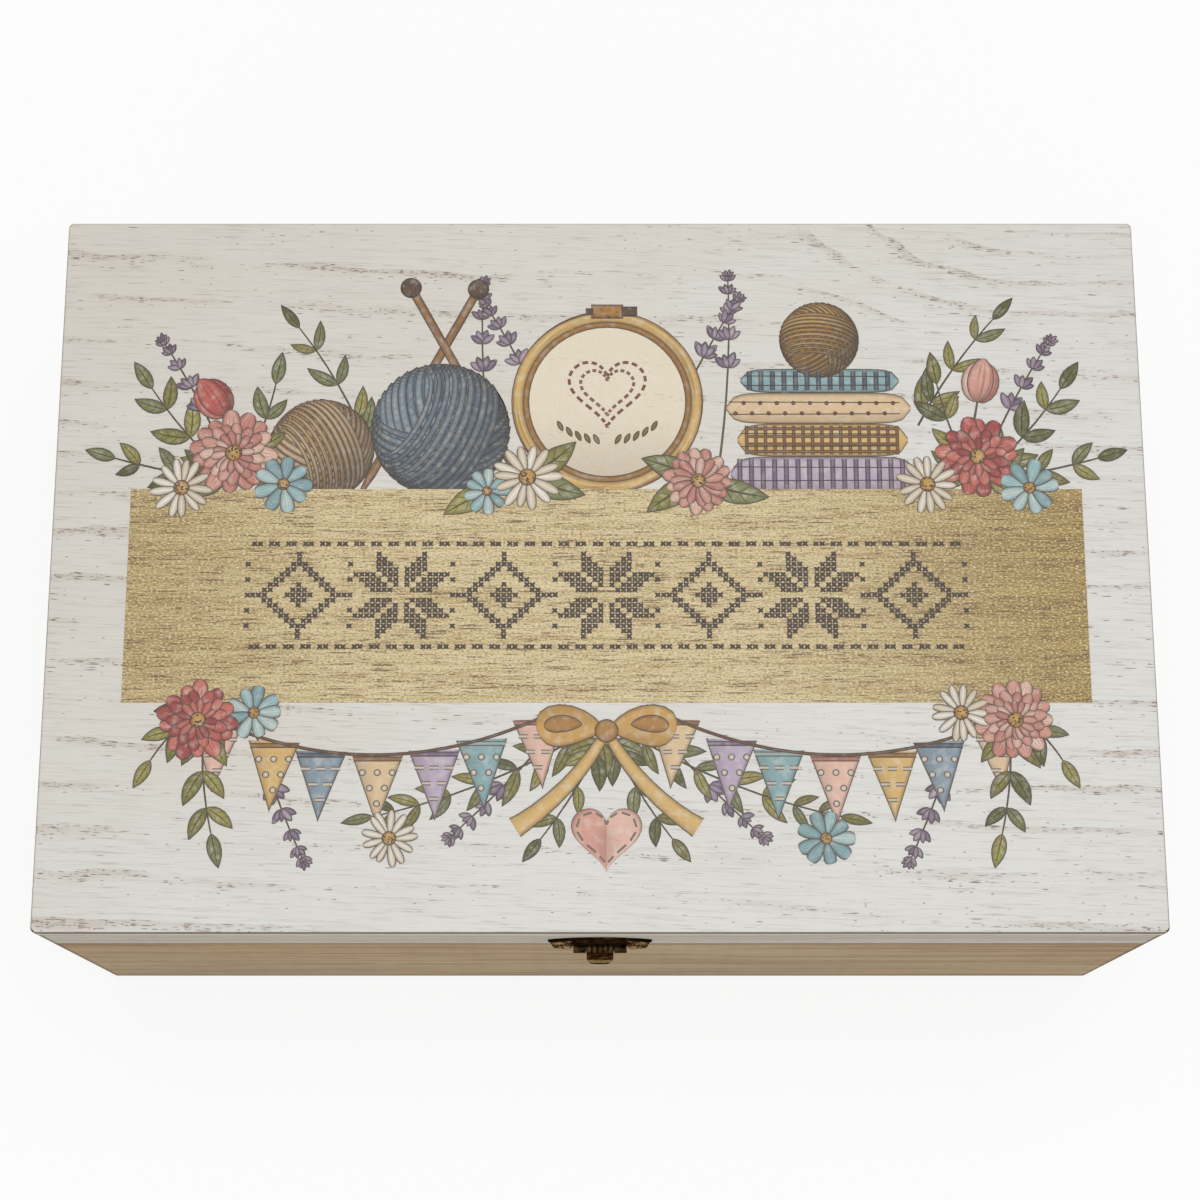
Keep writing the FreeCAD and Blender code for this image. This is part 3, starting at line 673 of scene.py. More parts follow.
def stroke(paint, start, heading, length, curl, halves, tint, layer):
    """A patch of one paint along an arc, with a half width for each of the arc's points."""
    dab(paint, ribbon(spine(start, heading, length, curl, len(halves)), halves), tint, layer)


def straight(paint, start, end, half, tint, layer, steps=5):
    """A patch of one paint along a straight line, of one width."""
    dab(paint, ribbon(np.linspace(start, end, steps), half), tint, layer)


def leaf(start, heading, length, layer, slim=0.42, curl=0):
    """One leaf: an arc that swells just before its middle and ends in a point."""
    stroke("leaves", start, heading, length, curl, swelling(length * slim, 0.75, 1.0), pick(OLIVE), layer)


def stem(start, heading, length, curl, layer, width=0.7):
    """A thin stalk that tapers to half its width. Gives its points."""
    points = spine(start, heading, length, curl)
    dab("stems", ribbon(points, np.linspace(width / 2, width / 4, len(points))), pick(OLIVE), layer)
    return points


def along_stem(points, share):
    """The point of a stalk that lies at a share of its steps."""
    return points[int(share * (len(points) - 1))]


def spray(start, heading, length, curl, pairs, size, layer, slim=0.42):
    """A stalk with pairs of leaves that shorten towards its tip, and one leaf on the end."""
    points = stem(start, heading, length, curl, layer)
    for number in range(pairs):
        share = 0.2 + 0.72 * number / pairs
        for sign in (-1, 1):
            reach = size * (1.1 - 0.45 * share) * chance.uniform(0.85, 1.12)
            way = heading + curl * share + sign * (48 + chance.uniform(-8, 8))
            leaf(along_stem(points, share), way, reach, layer + 1, slim, -sign * 22)
    leaf(points[-1], heading + curl, size * 0.8, layer + 1, slim)


def lavender(start, heading, length, curl, layer):
    """A bare stalk with whorls of small lilac flowers over its upper half."""
    points = stem(start, heading, length, curl, layer)
    for share in np.linspace(0.5, 1, 9):
        for lean in (-52, 52, -20, 20):
            size = (4.6 - 2.2 * (share - 0.5) * 2) * chance.uniform(0.85, 1.15)
            way = heading + curl * share + lean
            petal = swelling(size * 0.5, 0.6, 0.7, 7)
            stroke("petals", along_stem(points, share), way, size, 0, petal, pick(LILAC), layer + 1)


def flower(centre, radius, petals, tints, layer, slim=0.34, blunt=0.4, core=0.26, rows=1):
    """Petals all round a stippled heart, in rows of which each is shorter and turned by half a petal."""
    for row in range(rows):
        for number in range(petals):
            heading = 360 * (number + row / 2) / petals + chance.uniform(-4, 4)
            size = radius * (1 - 0.24 * row) * chance.uniform(0.92, 1.05)
            petal = swelling(size * slim, 0.8, blunt)
            stroke("petals", centre, heading, size, chance.uniform(-12, 12), petal, pick(tints), layer + row)
    heart = radius * core
    dab("petals", disc(centre, heart, 9), OCHRE[0], layer + rows)
    turns = chance.uniform(0, 2 * np.pi, 14)
    reaches = heart * np.sqrt(chance.uniform(0, 0.85, 14))
    for spot in np.array(centre) + reaches[:, None] * np.stack((np.cos(turns), np.sin(turns)), 1):
        dab("petals", disc(spot, heart * 0.13, 4), OCHRE[2], layer + rows + 1)


def tulip(base, heading, length, tints, layer):
    """A stalk with two long leaves, and a cup of three overlapping petals."""
    curl = 14
    top = stem(base, heading, length, curl, layer, 1.0)[-1]
    for sign in (-1, 1):
        leaf(base, heading + sign * 24, length * 0.7, layer + 1, 0.2, -sign * 30)
    petal = swelling(7.5, 0.55, 0.6)
    for lean, size, tint, over in ((-26, 12, tints[2], 2), (26, 12, tints[1], 2), (0, 13, tints[0], 3)):
        stroke("petals", top, heading + curl + lean, size, -lean * 1.6, petal, tint, layer + over)


def lit_from_left(grid, centre, radius, tint):
    """The tint at each point of a patch on a ball that is lit from the upper left: the ball's direction
    there, whose part towards the reader is the root of one less the square of the rest, times the light's."""
    off = (grid - np.array(centre)) / radius
    towards = np.sqrt(np.maximum(1 - (off ** 2).sum(2), 0))
    light = np.clip(-0.46 * off[..., 0] + 0.52 * off[..., 1] + 0.72 * towards, 0, 1)
    return np.array(tint) * (1, 1, 1, 0) * (0.42 + 0.7 * light[..., None]) + (0, 0, 0, 1)


def yarn_ball(centre, radius, tints, turn, layer):
    """A ball wound in three directions: each strand is a circle of latitude on a sphere, seen from above,
    about an axis that leans out of the page, of which the half that faces up is drawn."""
    windings = ((20, 70, -1.25, 1.25, 19), (95, 62, -1.1, 0.35, 12), (155, 66, -0.35, 0.75, 10))
    dab("yarn", disc(centre, radius, 17), tints[2], layer)
    for family, (aside, lean, low, high, count) in enumerate(windings):
        axis = math.radians(turn + aside)
        lean = math.radians(lean)
        outward = np.array((math.cos(axis), math.sin(axis)))
        sideways = np.array((-outward[1], outward[0]))
        for latitude in np.linspace(low, high, count):
            tint = pick(tints[:2])
            sunk = math.tan(-latitude) / math.tan(lean)
            if sunk >= 1:
                continue
            hidden = math.asin(max(sunk, 0))
            round_it = np.linspace(hidden, np.pi - hidden, 15)[:, None]
            points = math.sin(latitude) * math.sin(lean) * outward + math.cos(latitude) * (
                np.cos(round_it) * sideways - np.sin(round_it) * math.cos(lean) * outward)
            gap = (high - low) / count * math.cos(latitude * 0.9)
            thick = radius * gap * 0.5 * (0.55 + 0.45 * np.sin(round_it[:, 0]))
            grid, marks = ribbon(np.array(centre) + radius * 0.985 * points, np.maximum(thick, 0.05))
            dab("yarn", (grid, marks), lit_from_left(grid, centre, radius, tint), layer + 1 + family)


def needle(start, heading, length, layer):
    """A wooden knitting needle, pointed below, with a round knob on its upper end."""
    points = spine(start, heading, length, 0)
    dab("wood", ribbon(points, np.minimum(1.25, 0.1 + 6 * np.linspace(0, 1, len(points)))), BARK[1], layer)
    dab("wood", disc(points[-1], 3.0), BARK[2], layer + 1)


def heart_rim(turn):
    """A heart's rim, 32 wide: 16 sin^3 t across and 13 cos t - 5 cos 2t - 2 cos 3t - cos 4t up."""
    up = 13 * np.cos(turn) - 5 * np.cos(2 * turn) - 2 * np.cos(3 * turn) - np.cos(4 * turn)
    return np.stack((16 * np.sin(turn) ** 3, up), 1)


def hoop(centre, radius, layer):
    """An embroidery hoop: linen stretched in two wooden rings, a clamp screw, and a stitched heart."""
    centre = np.array(centre)
    dab("cloth", disc(centre, radius, 21), CREAM[1], layer)
    for inset, half, tint in ((3.4, 1.0, OCHRE[2]), (1.1, 1.7, OCHRE[1])):
        ring = radius - inset
        stroke("wood", centre - (0, ring), 0, 2 * np.pi * ring, 360, np.full(73, half), tint, layer + 1)
    top = centre + (0, radius + 0.4)
    clamp = ((-4.5, 9, 2.1, OCHRE[2]), (4.0, 4.4, 1.5, BARK[2]), (-6.0, 2.2, 1.0, BARK[2]))
    for left, length, half, tint in clamp:
        stroke("wood", top + (left, 0), 0, length, 0, np.full(5, half), tint, layer + 2)
    rim = heart_rim(np.linspace(0, 2 * np.pi, 241))
    for size, tint, first in ((0.66, CORAL[0], 0), (0.46, PINK[2], 3)):
        stitched = centre + size * rim + (0, 3.5)
        for begin in range(first, 232, 8):
            dab("stitches", ribbon(stitched[begin:begin + 6], 0.42), tint, layer + 2)
    blade = swelling(1.5, 0.7, 0.7, 7)
    for sign in (-1, 1):
        for number in range(5):
            spot = centre + (sign * (2.2 + 2.5 * number), -12.5 + 0.24 * number ** 2)
            stroke("stitches", spot, 90 - sign * 28, 3.4, 0, blade, OLIVE[0], layer + 2)


def folded_cloth(left, right, low, high, tint, mark, pattern, layer):
    """A folded length of cloth seen from its side, with round folds, two fold lines and a woven pattern."""
    middle = (low + high) / 2
    tall = high - low
    share = np.linspace(0, 1, 25)
    half = tall / 2 * np.maximum(1 - abs(2 * share - 1) ** 9, LEAST_HALF) ** 0.5
    dab("cloth", ribbon(np.linspace((left, middle), (right, middle), 25), half, 9), tint, layer)
    first, last = (left + 2.5, right - 2.5)
    if pattern == "stripes":
        for x in np.arange(first, last, 3.2):
            straight("pattern", (x, low + 0.7), (x, high - 0.7), 0.7, mark, layer + 1)
    if pattern == "checks":
        for x in np.arange(first, last, 2.6):
            straight("pattern", (x, low + 0.6), (x, high - 0.6), 0.5, mark, layer + 1)
        for y in np.arange(low + 1.4, high - 0.6, 2.2):
            straight("pattern", (first, y), (last, y), 0.45, mark, layer + 2, 9)
    if pattern == "dots":
        for number, x in enumerate(np.arange(first, last, 2.3)):
            dab("pattern", disc((x, middle + (1.5 if number % 2 else -1.5)), 0.62, 5), mark, layer + 1)
    for rise in (-0.2 * tall, 0.2 * tall):
        ends = ((left + 0.8, middle + rise), (right - 3, middle + rise * 0.9))
        straight("stitches", *ends, 0.13, BARK[2], layer + 3, 9)


def bunting(start, end, sag, flags, layer):
    """A cord that hangs between two points in a shallow bow, with pointed cloth flags along it."""
    share = np.linspace(0, 1, 41)[:, None]
    cord = np.linspace(start, end, 41) - (0, 1) * (4 * sag * share * (1 - share))
    dab("stems", ribbon(cord, 0.45), BARK[0], layer + 3)
    families = (PINK, OCHRE, STEEL, LINEN, LILAC, BLUE)
    for number in range(flags):
        spot = cord[int(round((number + 0.5) / flags * 40))]
        way = -90 + 9 * (number - (flags - 1) / 2) / flags
        tints = families[(number + int(start[0] > 0) * 3) % len(families)]
        pointed = 6.9 * np.maximum(1 - close_ends(13), LEAST_HALF)
        dab("cloth", ribbon(spine(spot, way, 19, 0, 13), pointed, 9), tints[1], layer)
        straight("pattern", spot + (-6.4, -1.1), spot + (6.4, -1.1), 0.7, tints[2], layer + 2, 7)
        for row in range(1, 4):
            for place in np.arange(row - 3, 4 - row, 2):
                mark = spot + (place * 2.0, -0.6 - 4.2 * row)
                if number % 2:
                    dab("pattern", disc(mark, 0.95, 7), CREAM[0], layer + 1)
                else:
                    stroke("pattern", mark - (1.2, 0), 0, 2.4, 0, np.full(5, 0.6), CREAM[0], layer + 1)


def bow(knot, size, tints, layer):
    """A tied ribbon: two loops that bulge to the sides, their darker insides, two tails and the knot."""
    tail = np.linspace(1.2, 3.0, STROKE_STEPS)
    loop = swelling(size * 0.62, 0.9, 0.42)
    inside = swelling(size * 0.26, 0.7, 0.5)
    for sign in (-1, 1):
        way = 90 - sign * 72
        inner = np.array(knot) + (sign * size * 0.34, size * 0.09)
        stroke("cloth", knot, -90 + sign * 28, size * 1.9, sign * 30, tail, tints[1], layer)
        stroke("cloth", knot, way, size, -sign * 34, loop, tints[0], layer + 1)
        stroke("cloth", inner, way - sign * 8, size * 0.55, -sign * 26, inside, tints[2], layer + 2)
    dab("cloth", disc(knot, size * 0.17), tints[2], layer + 3)


def pendant_heart(middle, size, tints, layer):
    """A quilted heart of two halves, each ruled from the seam in the middle to the rim, with a row of
    stitches that follows the rim further in."""
    turn = np.linspace(0, np.pi, 25)
    rim = heart_rim(turn) * size / 32
    seam = np.stack((np.zeros_like(turn), np.linspace(rim[0, 1], rim[-1, 1], len(turn))), 1)
    out = np.linspace(0, 1, 5)
    ruled = seam[:, None] + out[:, None] * (rim - seam)[:, None]
    for sign, tint in ((-1, tints[0]), (1, tints[1])):
        grid = (np.array(middle) + ruled * (sign, 1))[:, ::sign]
        reach = np.broadcast_to(out[::sign], grid.shape[:2])
        share = np.broadcast_to(turn[:, None] / np.pi, grid.shape[:2])
        marks = np.stack((share, 2 * reach - 1, size / 2 * (1 - reach) + 0.1), 2)
        dab("cloth", (grid[::-1], marks[::-1]), tint, layer)
        stitched = np.array(middle) + rim * (sign, 1) * 0.84
        for begin in range(1, 22, 3):
            straight("stitches", stitched[begin], stitched[begin + 2], 0.3, CREAM[0], layer + 1, 3)


DAISY = {"petals": 13, "tints": CREAM, "slim": 0.3}
BLUE_BLOOM = {"petals": 9, "tints": BLUE, "slim": 0.5, "blunt": 0.25, "core": 0.22}
PINK_DAHLIA = {"petals": 15, "tints": PINK, "slim": 0.42, "core": 0.2, "rows": 3}
CORAL_DAHLIA = {"petals": 13, "tints": CORAL, "slim": 0.42, "core": 0.2, "rows": 3}

# Behind the banner's back edge, from the stalks at the back to the flowers at the front.
lavender((-30, 30), 98, 52, -10, 0)
lavender((-14, 40), 112, 40, 10, 0)
lavender((33, 30), 82, 54, 10, 0)
lavender((20, 42), 66, 40, -8, 0)
spray((-64, 34), 112, 40, 16, 4, 11, 0, slim=0.36)
spray((88, 40), 62, 38, -14, 4, 11, 0, slim=0.36)
needle((-66, 20), 62, 68, 1)
needle((-20, 21), 119, 68, 2)
hoop((2, 47), 26, 3)
yarn_ball((-44, 39), 19, STEEL, 0, 4)
yarn_ball((-77, 33), 14.5, LINEN, 50, 4)
yarn_ball((61, 65), 11, OCHRE, 110, 3)
folded_cloth(36, 87, 21, 31, LILAC[1], LILAC[2], "stripes", 3)
folded_cloth(38, 85, 31, 40.5, OCHRE[1], OCHRE[2], "checks", 3)
folded_cloth(35, 86, 40.5, 49.5, LINEN[1], CORAL[0], "dots", 3)
folded_cloth(39, 83, 49.5, 56.5, BLUE[1], STEEL[2], "stripes", 3)
for side in (-1, 1):
    corner = np.array((PRINT_MIDDLE + side * 102, 24.0))
    upright = 90 + side * 8
    spray(corner, upright - side * 58, 36, side * 16, 4, 12, 4)
    spray(corner, upright - side * 92, 34, side * 10, 4, 11, 10)
    spray(corner, upright + side * 22, 30, -side * 20, 3, 12, 4)
    lavender(corner, upright - side * 30, 46, -side * 12, 4)
tulip((-92, 22), 112, 24, CORAL, 5)
tulip((97, 22), 66, 26, PINK, 5)
flower((-101, 32), 12, layer=12, **PINK_DAHLIA)
flower((-115, 22), 8.5, layer=13, **DAISY)
flower((-87, 23), 8, layer=13, **BLUE_BLOOM)
flower((104, 31), 11.5, layer=12, **CORAL_DAHLIA)
flower((118, 22), 8, layer=13, **BLUE_BLOOM)
flower((90, 23), 8.5, layer=13, **DAISY)
flower((-20, 25), 9.5, 14, CREAM, 13, slim=0.3)
flower((-31, 21), 6.5, layer=12, **BLUE_BLOOM)
flower((27, 24), 9.5, 15, PINK, 12, rows=2, slim=0.42, core=0.22)
loose_leaves = (((-20, 25), (30, -25)), ((-28, 22), (200,)), ((27, 24), (150, 205)), ((30, 23), (-20,)))
for start, headings in loose_leaves:
    for heading in headings:
        leaf(start, heading, 17, 11, curl=15)

# Along the banner's front edge: bunting, sprays, a bow with a heart below it, and more flowers.
bunting((-110, -40), (-9, -39), 13, 7, 3)
bunting((12.5, -39), (113.5, -40), 13, 7, 3)
for side in (-1, 1):
    middle = np.array((PRINT_MIDDLE, -46.0))
    corner = np.array((PRINT_MIDDLE + side * 108, -40.0))
    spray(middle + (side * 5, 0), -90 + side * 58, 62, side * 20, 7, 11, 1, slim=0.34)
    spray(middle, -90 + side * 24, 34, side * 14, 4, 10, 1)
    spray(corner, -90 + side * 4, 34, -side * 18, 4, 12, 4)
    spray(corner, -90 + side * 60, 20, -side * 30, 2, 11, 4)
    lavender(corner + (-side * 12, 0), -90 - side * 16, 44, -side * 10, 1)
    lavender(middle + (side * 14, 0), -90 + side * 40, 40, side * 8, 0)
bow((PRINT_MIDDLE, -46), 19, OCHRE, 9)
pendant_heart((PRINT_MIDDLE, -74), 19, PINK, 6)
flower((-108, -43), 11, layer=12, **CORAL_DAHLIA)
flower((-93, -41), 7.5, layer=12, **BLUE_BLOOM)
flower((111.5, -43), 11, layer=12, **PINK_DAHLIA)
flower((97, -41), 8, layer=12, **DAISY)
flower((-56, -75), 7.5, layer=12, **DAISY)
flower((60, -75), 7.5, layer=12, **BLUE_BLOOM)


def watercolour(name, detail):
    """Thin paint of the patch's own tint: pale where the wash ran thin, darker where it pooled at the rim,
    with a fine brown line round it and whatever darker marks detail works out from the patch's marks."""
    material, start = new_finish(name)
    tint = start.kept("tint", "Color")
    share, across, rim = start.kept("marks", "Vector").split()
    x, y = start.place()[:2]
    pool = start.noise(x / 2.4, y / 2.4, 5.0, detail=3.0)
    grit = start.noise(x / 0.3, y / 0.3, 2.0)
    wash = (pool.rise(0.45, 0.72) * 0.3).mix(tint, PAPER)
    multiplied = {"data_type": "RGBA", "blend_type": "MULTIPLY"}
    deep = start.node("Mix", multiplied, {0: 1.0, 6: tint, 7: colour(116, 94, 76)}, 2)
    marks = detail(start, share, across, rim)
    wash = (marks.most(rim.rise(1.5, 0.1) * 0.55) + grit.rise(0.5, 0.75) * 0.25).mix(wash, deep)
    outline = rim.rise(0.42, 0.16) * pool.rise(0.2, 0.42)
    wash = (outline * 0.8).mix(wash, INK)
    pores = open_pores(start)[0]
    wash = (pores * 0.25).mix(wash, PORE_BROWN)
    return coat(material, Base_Color=wash, Roughness=0.55, Normal=start.bump(1 - pores, 0.04))


def veins(start, share, across, rim):
    """A midrib, and side veins that leave it slantwise, fading to the rim."""
    ribs = start.maths("FRACT", share * 7 - abs(across) * 0.9)
    side = abs(ribs - 0.5).rise(0.1, 0.02) * 0.75
    return (abs(across).rise(0.14, 0.04) * 0.9).most(side) + share.rise(0.6, 0.0) * 0.25


def petal_streaks(start, share, across, rim):
    """Fine strokes from the root of a petal outwards, deepest at the root."""
    lines = start.noise(share * 1.2, across * 4.5, rim * 0.1 + 3)
    return lines.rise(0.5, 0.75) * 0.55 + share.rise(0.5, 0.0) * 0.7


def plies(start, share, across, rim):
    """The twisted plies of yarn, and shade towards both ends of the strand, where it turns away."""
    twist = start.maths("SINE", share * 150 + across * 2.4)
    return twist.rise(0.1, 0.9) * 0.4 + abs(share - 0.5).rise(0.28, 0.5) * 0.75


def weave(start, share, across, rim):
    """Crossing threads, and a little shade to one side."""
    x, y = start.place()[:2]
    threads = start.maths("SINE", x * 9) * start.maths("SINE", y * 9)
    return threads.rise(0.2, 0.9) * 0.16 + (across * -1).rise(0.0, 1.0) * 0.28


def wood_strokes(start, share, across, rim):
    """Long brush strokes along a piece of wood, darker to one side."""
    lines = start.noise(share * 9, across * 2.0, 1.0)
    return lines.rise(0.45, 0.7) * 0.5 + (across * -1).rise(0.1, 1.0) * 0.6


def plain(start, share, across, rim):
    """No marks but a slight unevenness along the stroke."""
    return start.noise(share * 3, across, 1.0).rise(0.5, 0.8) * 0.3


for paint, detail in (
    ("stems", plain), ("wood", wood_strokes), ("cloth", weave), ("pattern", plain),
    ("yarn", plies), ("leaves", veins), ("petals", petal_streaks), ("stitches", plain),
):
    lay_print(paint, watercolour(f"painted_{paint}", detail))


# Hinges: two butt hinges of rolled sheet, pickled to an antique bronze and screwed to the back
# with slotted countersunk screws, two through each leaf.

METAL_ARRIS = 0.12
HINGE_PLACE = sum(corner.x for corner in box("hinge_pin_right")) / 2
HINGE_HALF = box("hinge_lid_leaf_right")[1].x - HINGE_PLACE
HINGE_TOP = box("hinge_lid_leaf_right")[1].z
HINGE_FOOT = box("hinge_base_leaf_right")[0].z
SCREW_DOME = 0.3
SCREW_SLOT = 0.5
SCREW_FOOT = 0.88


def bronze(name, wear, clouding=0.9):
    """Antique bronze: nearly black in the pickled hollows, brown on the flats, and rubbed to dull brass
    where wear, worked out from the start of the nodes, comes near 1; clouded and finely pitted all over."""
    material, start = new_finish(name)
    x, y, z = start.place()
    cloud = start.noise(x / 1.6, y / 1.6, z / 1.6, detail=4.0)
    pits = start.noise(x / 0.3, y / 0.3, z / 0.3)
    rubbed = wear(start) + (cloud - 0.5) * clouding
    shade = rubbed.rise(0.05, 0.5).mix(colour(24, 18, 12), colour(92, 68, 40))
    shade = rubbed.rise(0.5, 1.0).mix(shade, colour(178, 160, 130))
    shade = (pits.rise(0.55, 0.75) * 0.4).mix(shade, colour(20, 15, 10))
    relief = start.bump(cloud * 0.6 - pits * 0.4, 0.03)
    gloss = 0.58 - rubbed.rise(0.3, 1.0) * 0.22 + pits * 0.12
    metal = {"Metallic": 1.0, "Specular_Tint": colour(150, 118, 82)}
    return coat(material, Base_Color=shade, Roughness=gloss, Normal=relief, **metal)


def skin(front, back):
    """The closed skin between two grids: the front, the back turned round, and a wall round their rims."""
    rows, columns = front.shape[:2]
    face = np.arange(rows * columns).reshape(rows, columns)
    faces = grid_faces(face)
    rim = np.concatenate((face[:, 0], face[-1, 1:], face[-2::-1, -1], face[0, -2:0:-1]))
    after = np.roll(rim, -1)
    behind = rows * columns
    walls = np.stack((rim, rim + behind, after + behind, after), -1)
    points = np.concatenate((front.reshape(-1, 3), back.reshape(-1, 3)))
    return points, np.concatenate((faces, faces[:, ::-1] + behind, walls))


def metal_piece(name, shells, body, material, wear=None, node=None):
    """One mesh of several closed shells, in millimetres, sharp past 40 degrees, that rides on a body and
    may stand for a node."""
    points, faces = zip(*shells)
    firsts = np.cumsum([0, *map(len, points)])
    joined = np.concatenate([part + first for part, first in zip(faces, firsts)])
    mesh = bpy.data.meshes.new(name)
    mesh.from_pydata((np.concatenate(points) * MM).tolist(), [], joined.tolist())
    if wear is not None:
        keep_values(mesh, "wear", "FLOAT", "value", wear)
    mesh.shade_smooth()
    mesh.set_sharp_from_angle(angle=math.radians(40))
    mesh.materials.append(material)
    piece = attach(placed(name, mesh), body)
    if node:
        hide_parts(node)


def step(value, low, high):
    """Smoothly from 0 at low to 1 at high, for whole arrays."""
    share = np.clip((value - low) / (high - low), 0, 1)
    return share * share * (3 - 2 * share)


def kept_wear(start):
    """Wear kept on the mesh: high places are rubbed, hollows are not."""
    return start.kept("wear", "Fac")


def sheet_wear(start):
    """Dull between, rubbed along the rims of the leaves and on the round of the knuckles."""
    x, y, z = start.place()
    patches = start.noise(x / 5, y / 5, z / 5).rise(0.35, 0.75) * 0.25
    inwards = (HINGE_HALF - abs(abs(x) - HINGE_PLACE)).least((z - HINGE_FOOT).least(HINGE_TOP - z))
    return patches + inwards.rise(1.0, 0.2) * 0.34 + (y - HALF_DEPTH).rise(2.2, 3.6) * 0.3 + 0.24


def head(x, z, plan, face, foot):
    """A fastener's head: its face stands over a plan, and half that plan lies at its foot."""
    front = np.stack((x + plan[..., 0], face, z + plan[..., 1]), 2)
    back = np.stack((x + plan[..., 0] / 2, np.full_like(face, foot), z + plan[..., 1] / 2), 2)
    return skin(front, back)


def slotted_screws(node, body):
    """Countersunk heads: a low dome over a disc, with a slot across it that sinks by a smooth step."""
    low, high = box(node)
    radius = (high.z - low.z) / 2
    outer = high.x - radius
    inner = 2 * HINGE_PLACE - outer
    plan = disc((0, 0), radius, 33)[0]
    out = np.hypot(plan[..., 0], plan[..., 1]) / radius
    shells = []
    wear = []
    for number, x in enumerate((-outer, -inner, inner, outer)):
        turn = math.radians(25 + 47 * number)
        across = plan[..., 0] * math.sin(turn) - plan[..., 1] * math.cos(turn)
        slot = step(abs(across), 0.36, 0.26)
        face = high.y + SCREW_DOME * (1 - out ** 2) - SCREW_SLOT * slot
        shells.append(head(x, (low.z + high.z) / 2, plan * (-1, 1), face, high.y - SCREW_FOOT))
        wear += [0.85 * (1 - slot) * step(out, 1.0, 0.8), np.zeros_like(out)]
    metal_piece(f"{node}_slotted", shells, body, bronze_screws, np.stack(wear), node)


bronze_sheet = bronze("antique_bronze_sheet", sheet_wear, 0.45)
bronze_screws = bronze("antique_bronze_screws", kept_wear, 0.35)
for part in ("base_leaf", "lid_leaf", "pin"):
    for side in ("left", "right"):
        eased(f"hinge_{part}_{side}", METAL_ARRIS, bronze_sheet)
slotted_screws("hinge_base_screws", "base")
slotted_screws("hinge_lid_screws", "lid")


# Hasp plate: a crowned bronze plate pressed over a die, with a fluted shell in its middle, a rosette
# on each wing, a beaded rim, and two knuckles rolled below it. Two round nails hold it to the lid.

HASP_OUT = -HALF_DEPTH
HASP_AXIS = (box("hasp_pin")[0] + box("hasp_pin")[1]) / 2
KNUCKLE_END = box("hasp_pin")[1].x
KNUCKLE_RADIUS = 1.25
KNUCKLE_STEPS = 36
BORE = 0.66
ROUNDED = 0.18
PLATE_HALF = box("hasp_plate")[1].x
PLATE_TOP = box("hasp_plate")[1].z - HASP_AXIS.z
TONGUE_HALF = box("hasp_tongue")[1].x
KNUCKLE_GAP = 0.15
TONGUE_ROOM = TONGUE_HALF + KNUCKLE_GAP
SIDE_ROOM = 0.02
TIP_HEIGHT = 8.3
SHEET = 0.7
EMBOSS = 1.1
FAN_FOOT = 0.6
FLUTES = 6.5
MIDDLE_END = (7.0, 8.2)
ROSETTE = (8.8, 4.6)
ROSETTE_RADIUS = 4.2
RING_RADIUS = 3.72
PETALS = 10
RIM_FOOT = 9
RIM_RADIUS = 21.14
BEAD_SIZE = 0.62


def plate_outline(x):
    """The plate's lower and upper edge at each distance from its middle. Above it is an arc over the wing
    tips; below, the tongue's notch, the straps of the knuckles, the rosettes' circles and the tips."""
    rise = PLATE_TOP - TIP_HEIGHT
    bow_radius = (PLATE_HALF ** 2 + rise ** 2) / (2 * rise)
    high = PLATE_TOP - bow_radius + np.sqrt(bow_radius ** 2 - x ** 2)
    off = np.clip(abs(x) - ROSETTE[0], -ROSETTE_RADIUS, ROSETTE_RADIUS)
    low = ROSETTE[1] - np.sqrt(ROSETTE_RADIUS ** 2 - off ** 2)
    tip = step(abs(x), ROSETTE[0] + ROSETTE_RADIUS - 0.6, PLATE_HALF)
    low = low + (TIP_HEIGHT - 0.1 - low) * tip
    low = np.where(abs(x) < KNUCKLE_END, 0, low)
    low = np.where(abs(x) < TONGUE_ROOM, KNUCKLE_RADIUS + KNUCKLE_GAP, low)
    return low, high


def plate_relief(x, z, low, high):
    """The die's height from 0 to 1: a shell of flutes that spread from the notch, on each wing a boss in a
    ring of ten petals, a raised rim above with a row of beads, and a plain edge all round."""
    fan = np.arctan2(x, z - FAN_FOOT)
    spread = np.hypot(x, z - FAN_FOOT)
    shell = (0.16 + 0.74 * abs(np.cos(fan * FLUTES)) ** 0.6) * step(spread, 2.0, 3.6)
    off = np.hypot(abs(x) - ROSETTE[0], z - ROSETTE[1])
    turn = np.arctan2(z - ROSETTE[1], abs(x) - ROSETTE[0])
    petals = 0.9 * abs(np.cos(turn * PETALS / 2)) ** 0.8 * step(off, 1.35, 1.8) * step(off, 3.2, 2.6)
    boss = step(off, 1.45, 1.15)
    ring = step(abs(off - RING_RADIUS), 0.42, 0.12) * (0.25 + 0.6 * abs(np.cos(turn * PETALS)))
    rosette = np.maximum(np.maximum(petals, boss), ring)
    relief = np.where(off < ROSETTE_RADIUS, rosette, shell)
    under_rim = high - z
    beads = 0.78 + 0.22 * np.cos(np.arctan2(x, z + RIM_FOOT) * RIM_RADIUS / BEAD_SIZE)
    relief = relief * step(under_rim, 1.1, 1.5)
    relief = np.maximum(relief, step(under_rim, 1.15, 0.85) * beads)
    edge = np.minimum(under_rim, z - low)
    middle = 0.2 + 0.8 * step(abs(x), *MIDDLE_END)
    return relief * middle * step(edge, 0.0, 0.35) * step(PLATE_HALF - abs(x), 0.2, 1.0)


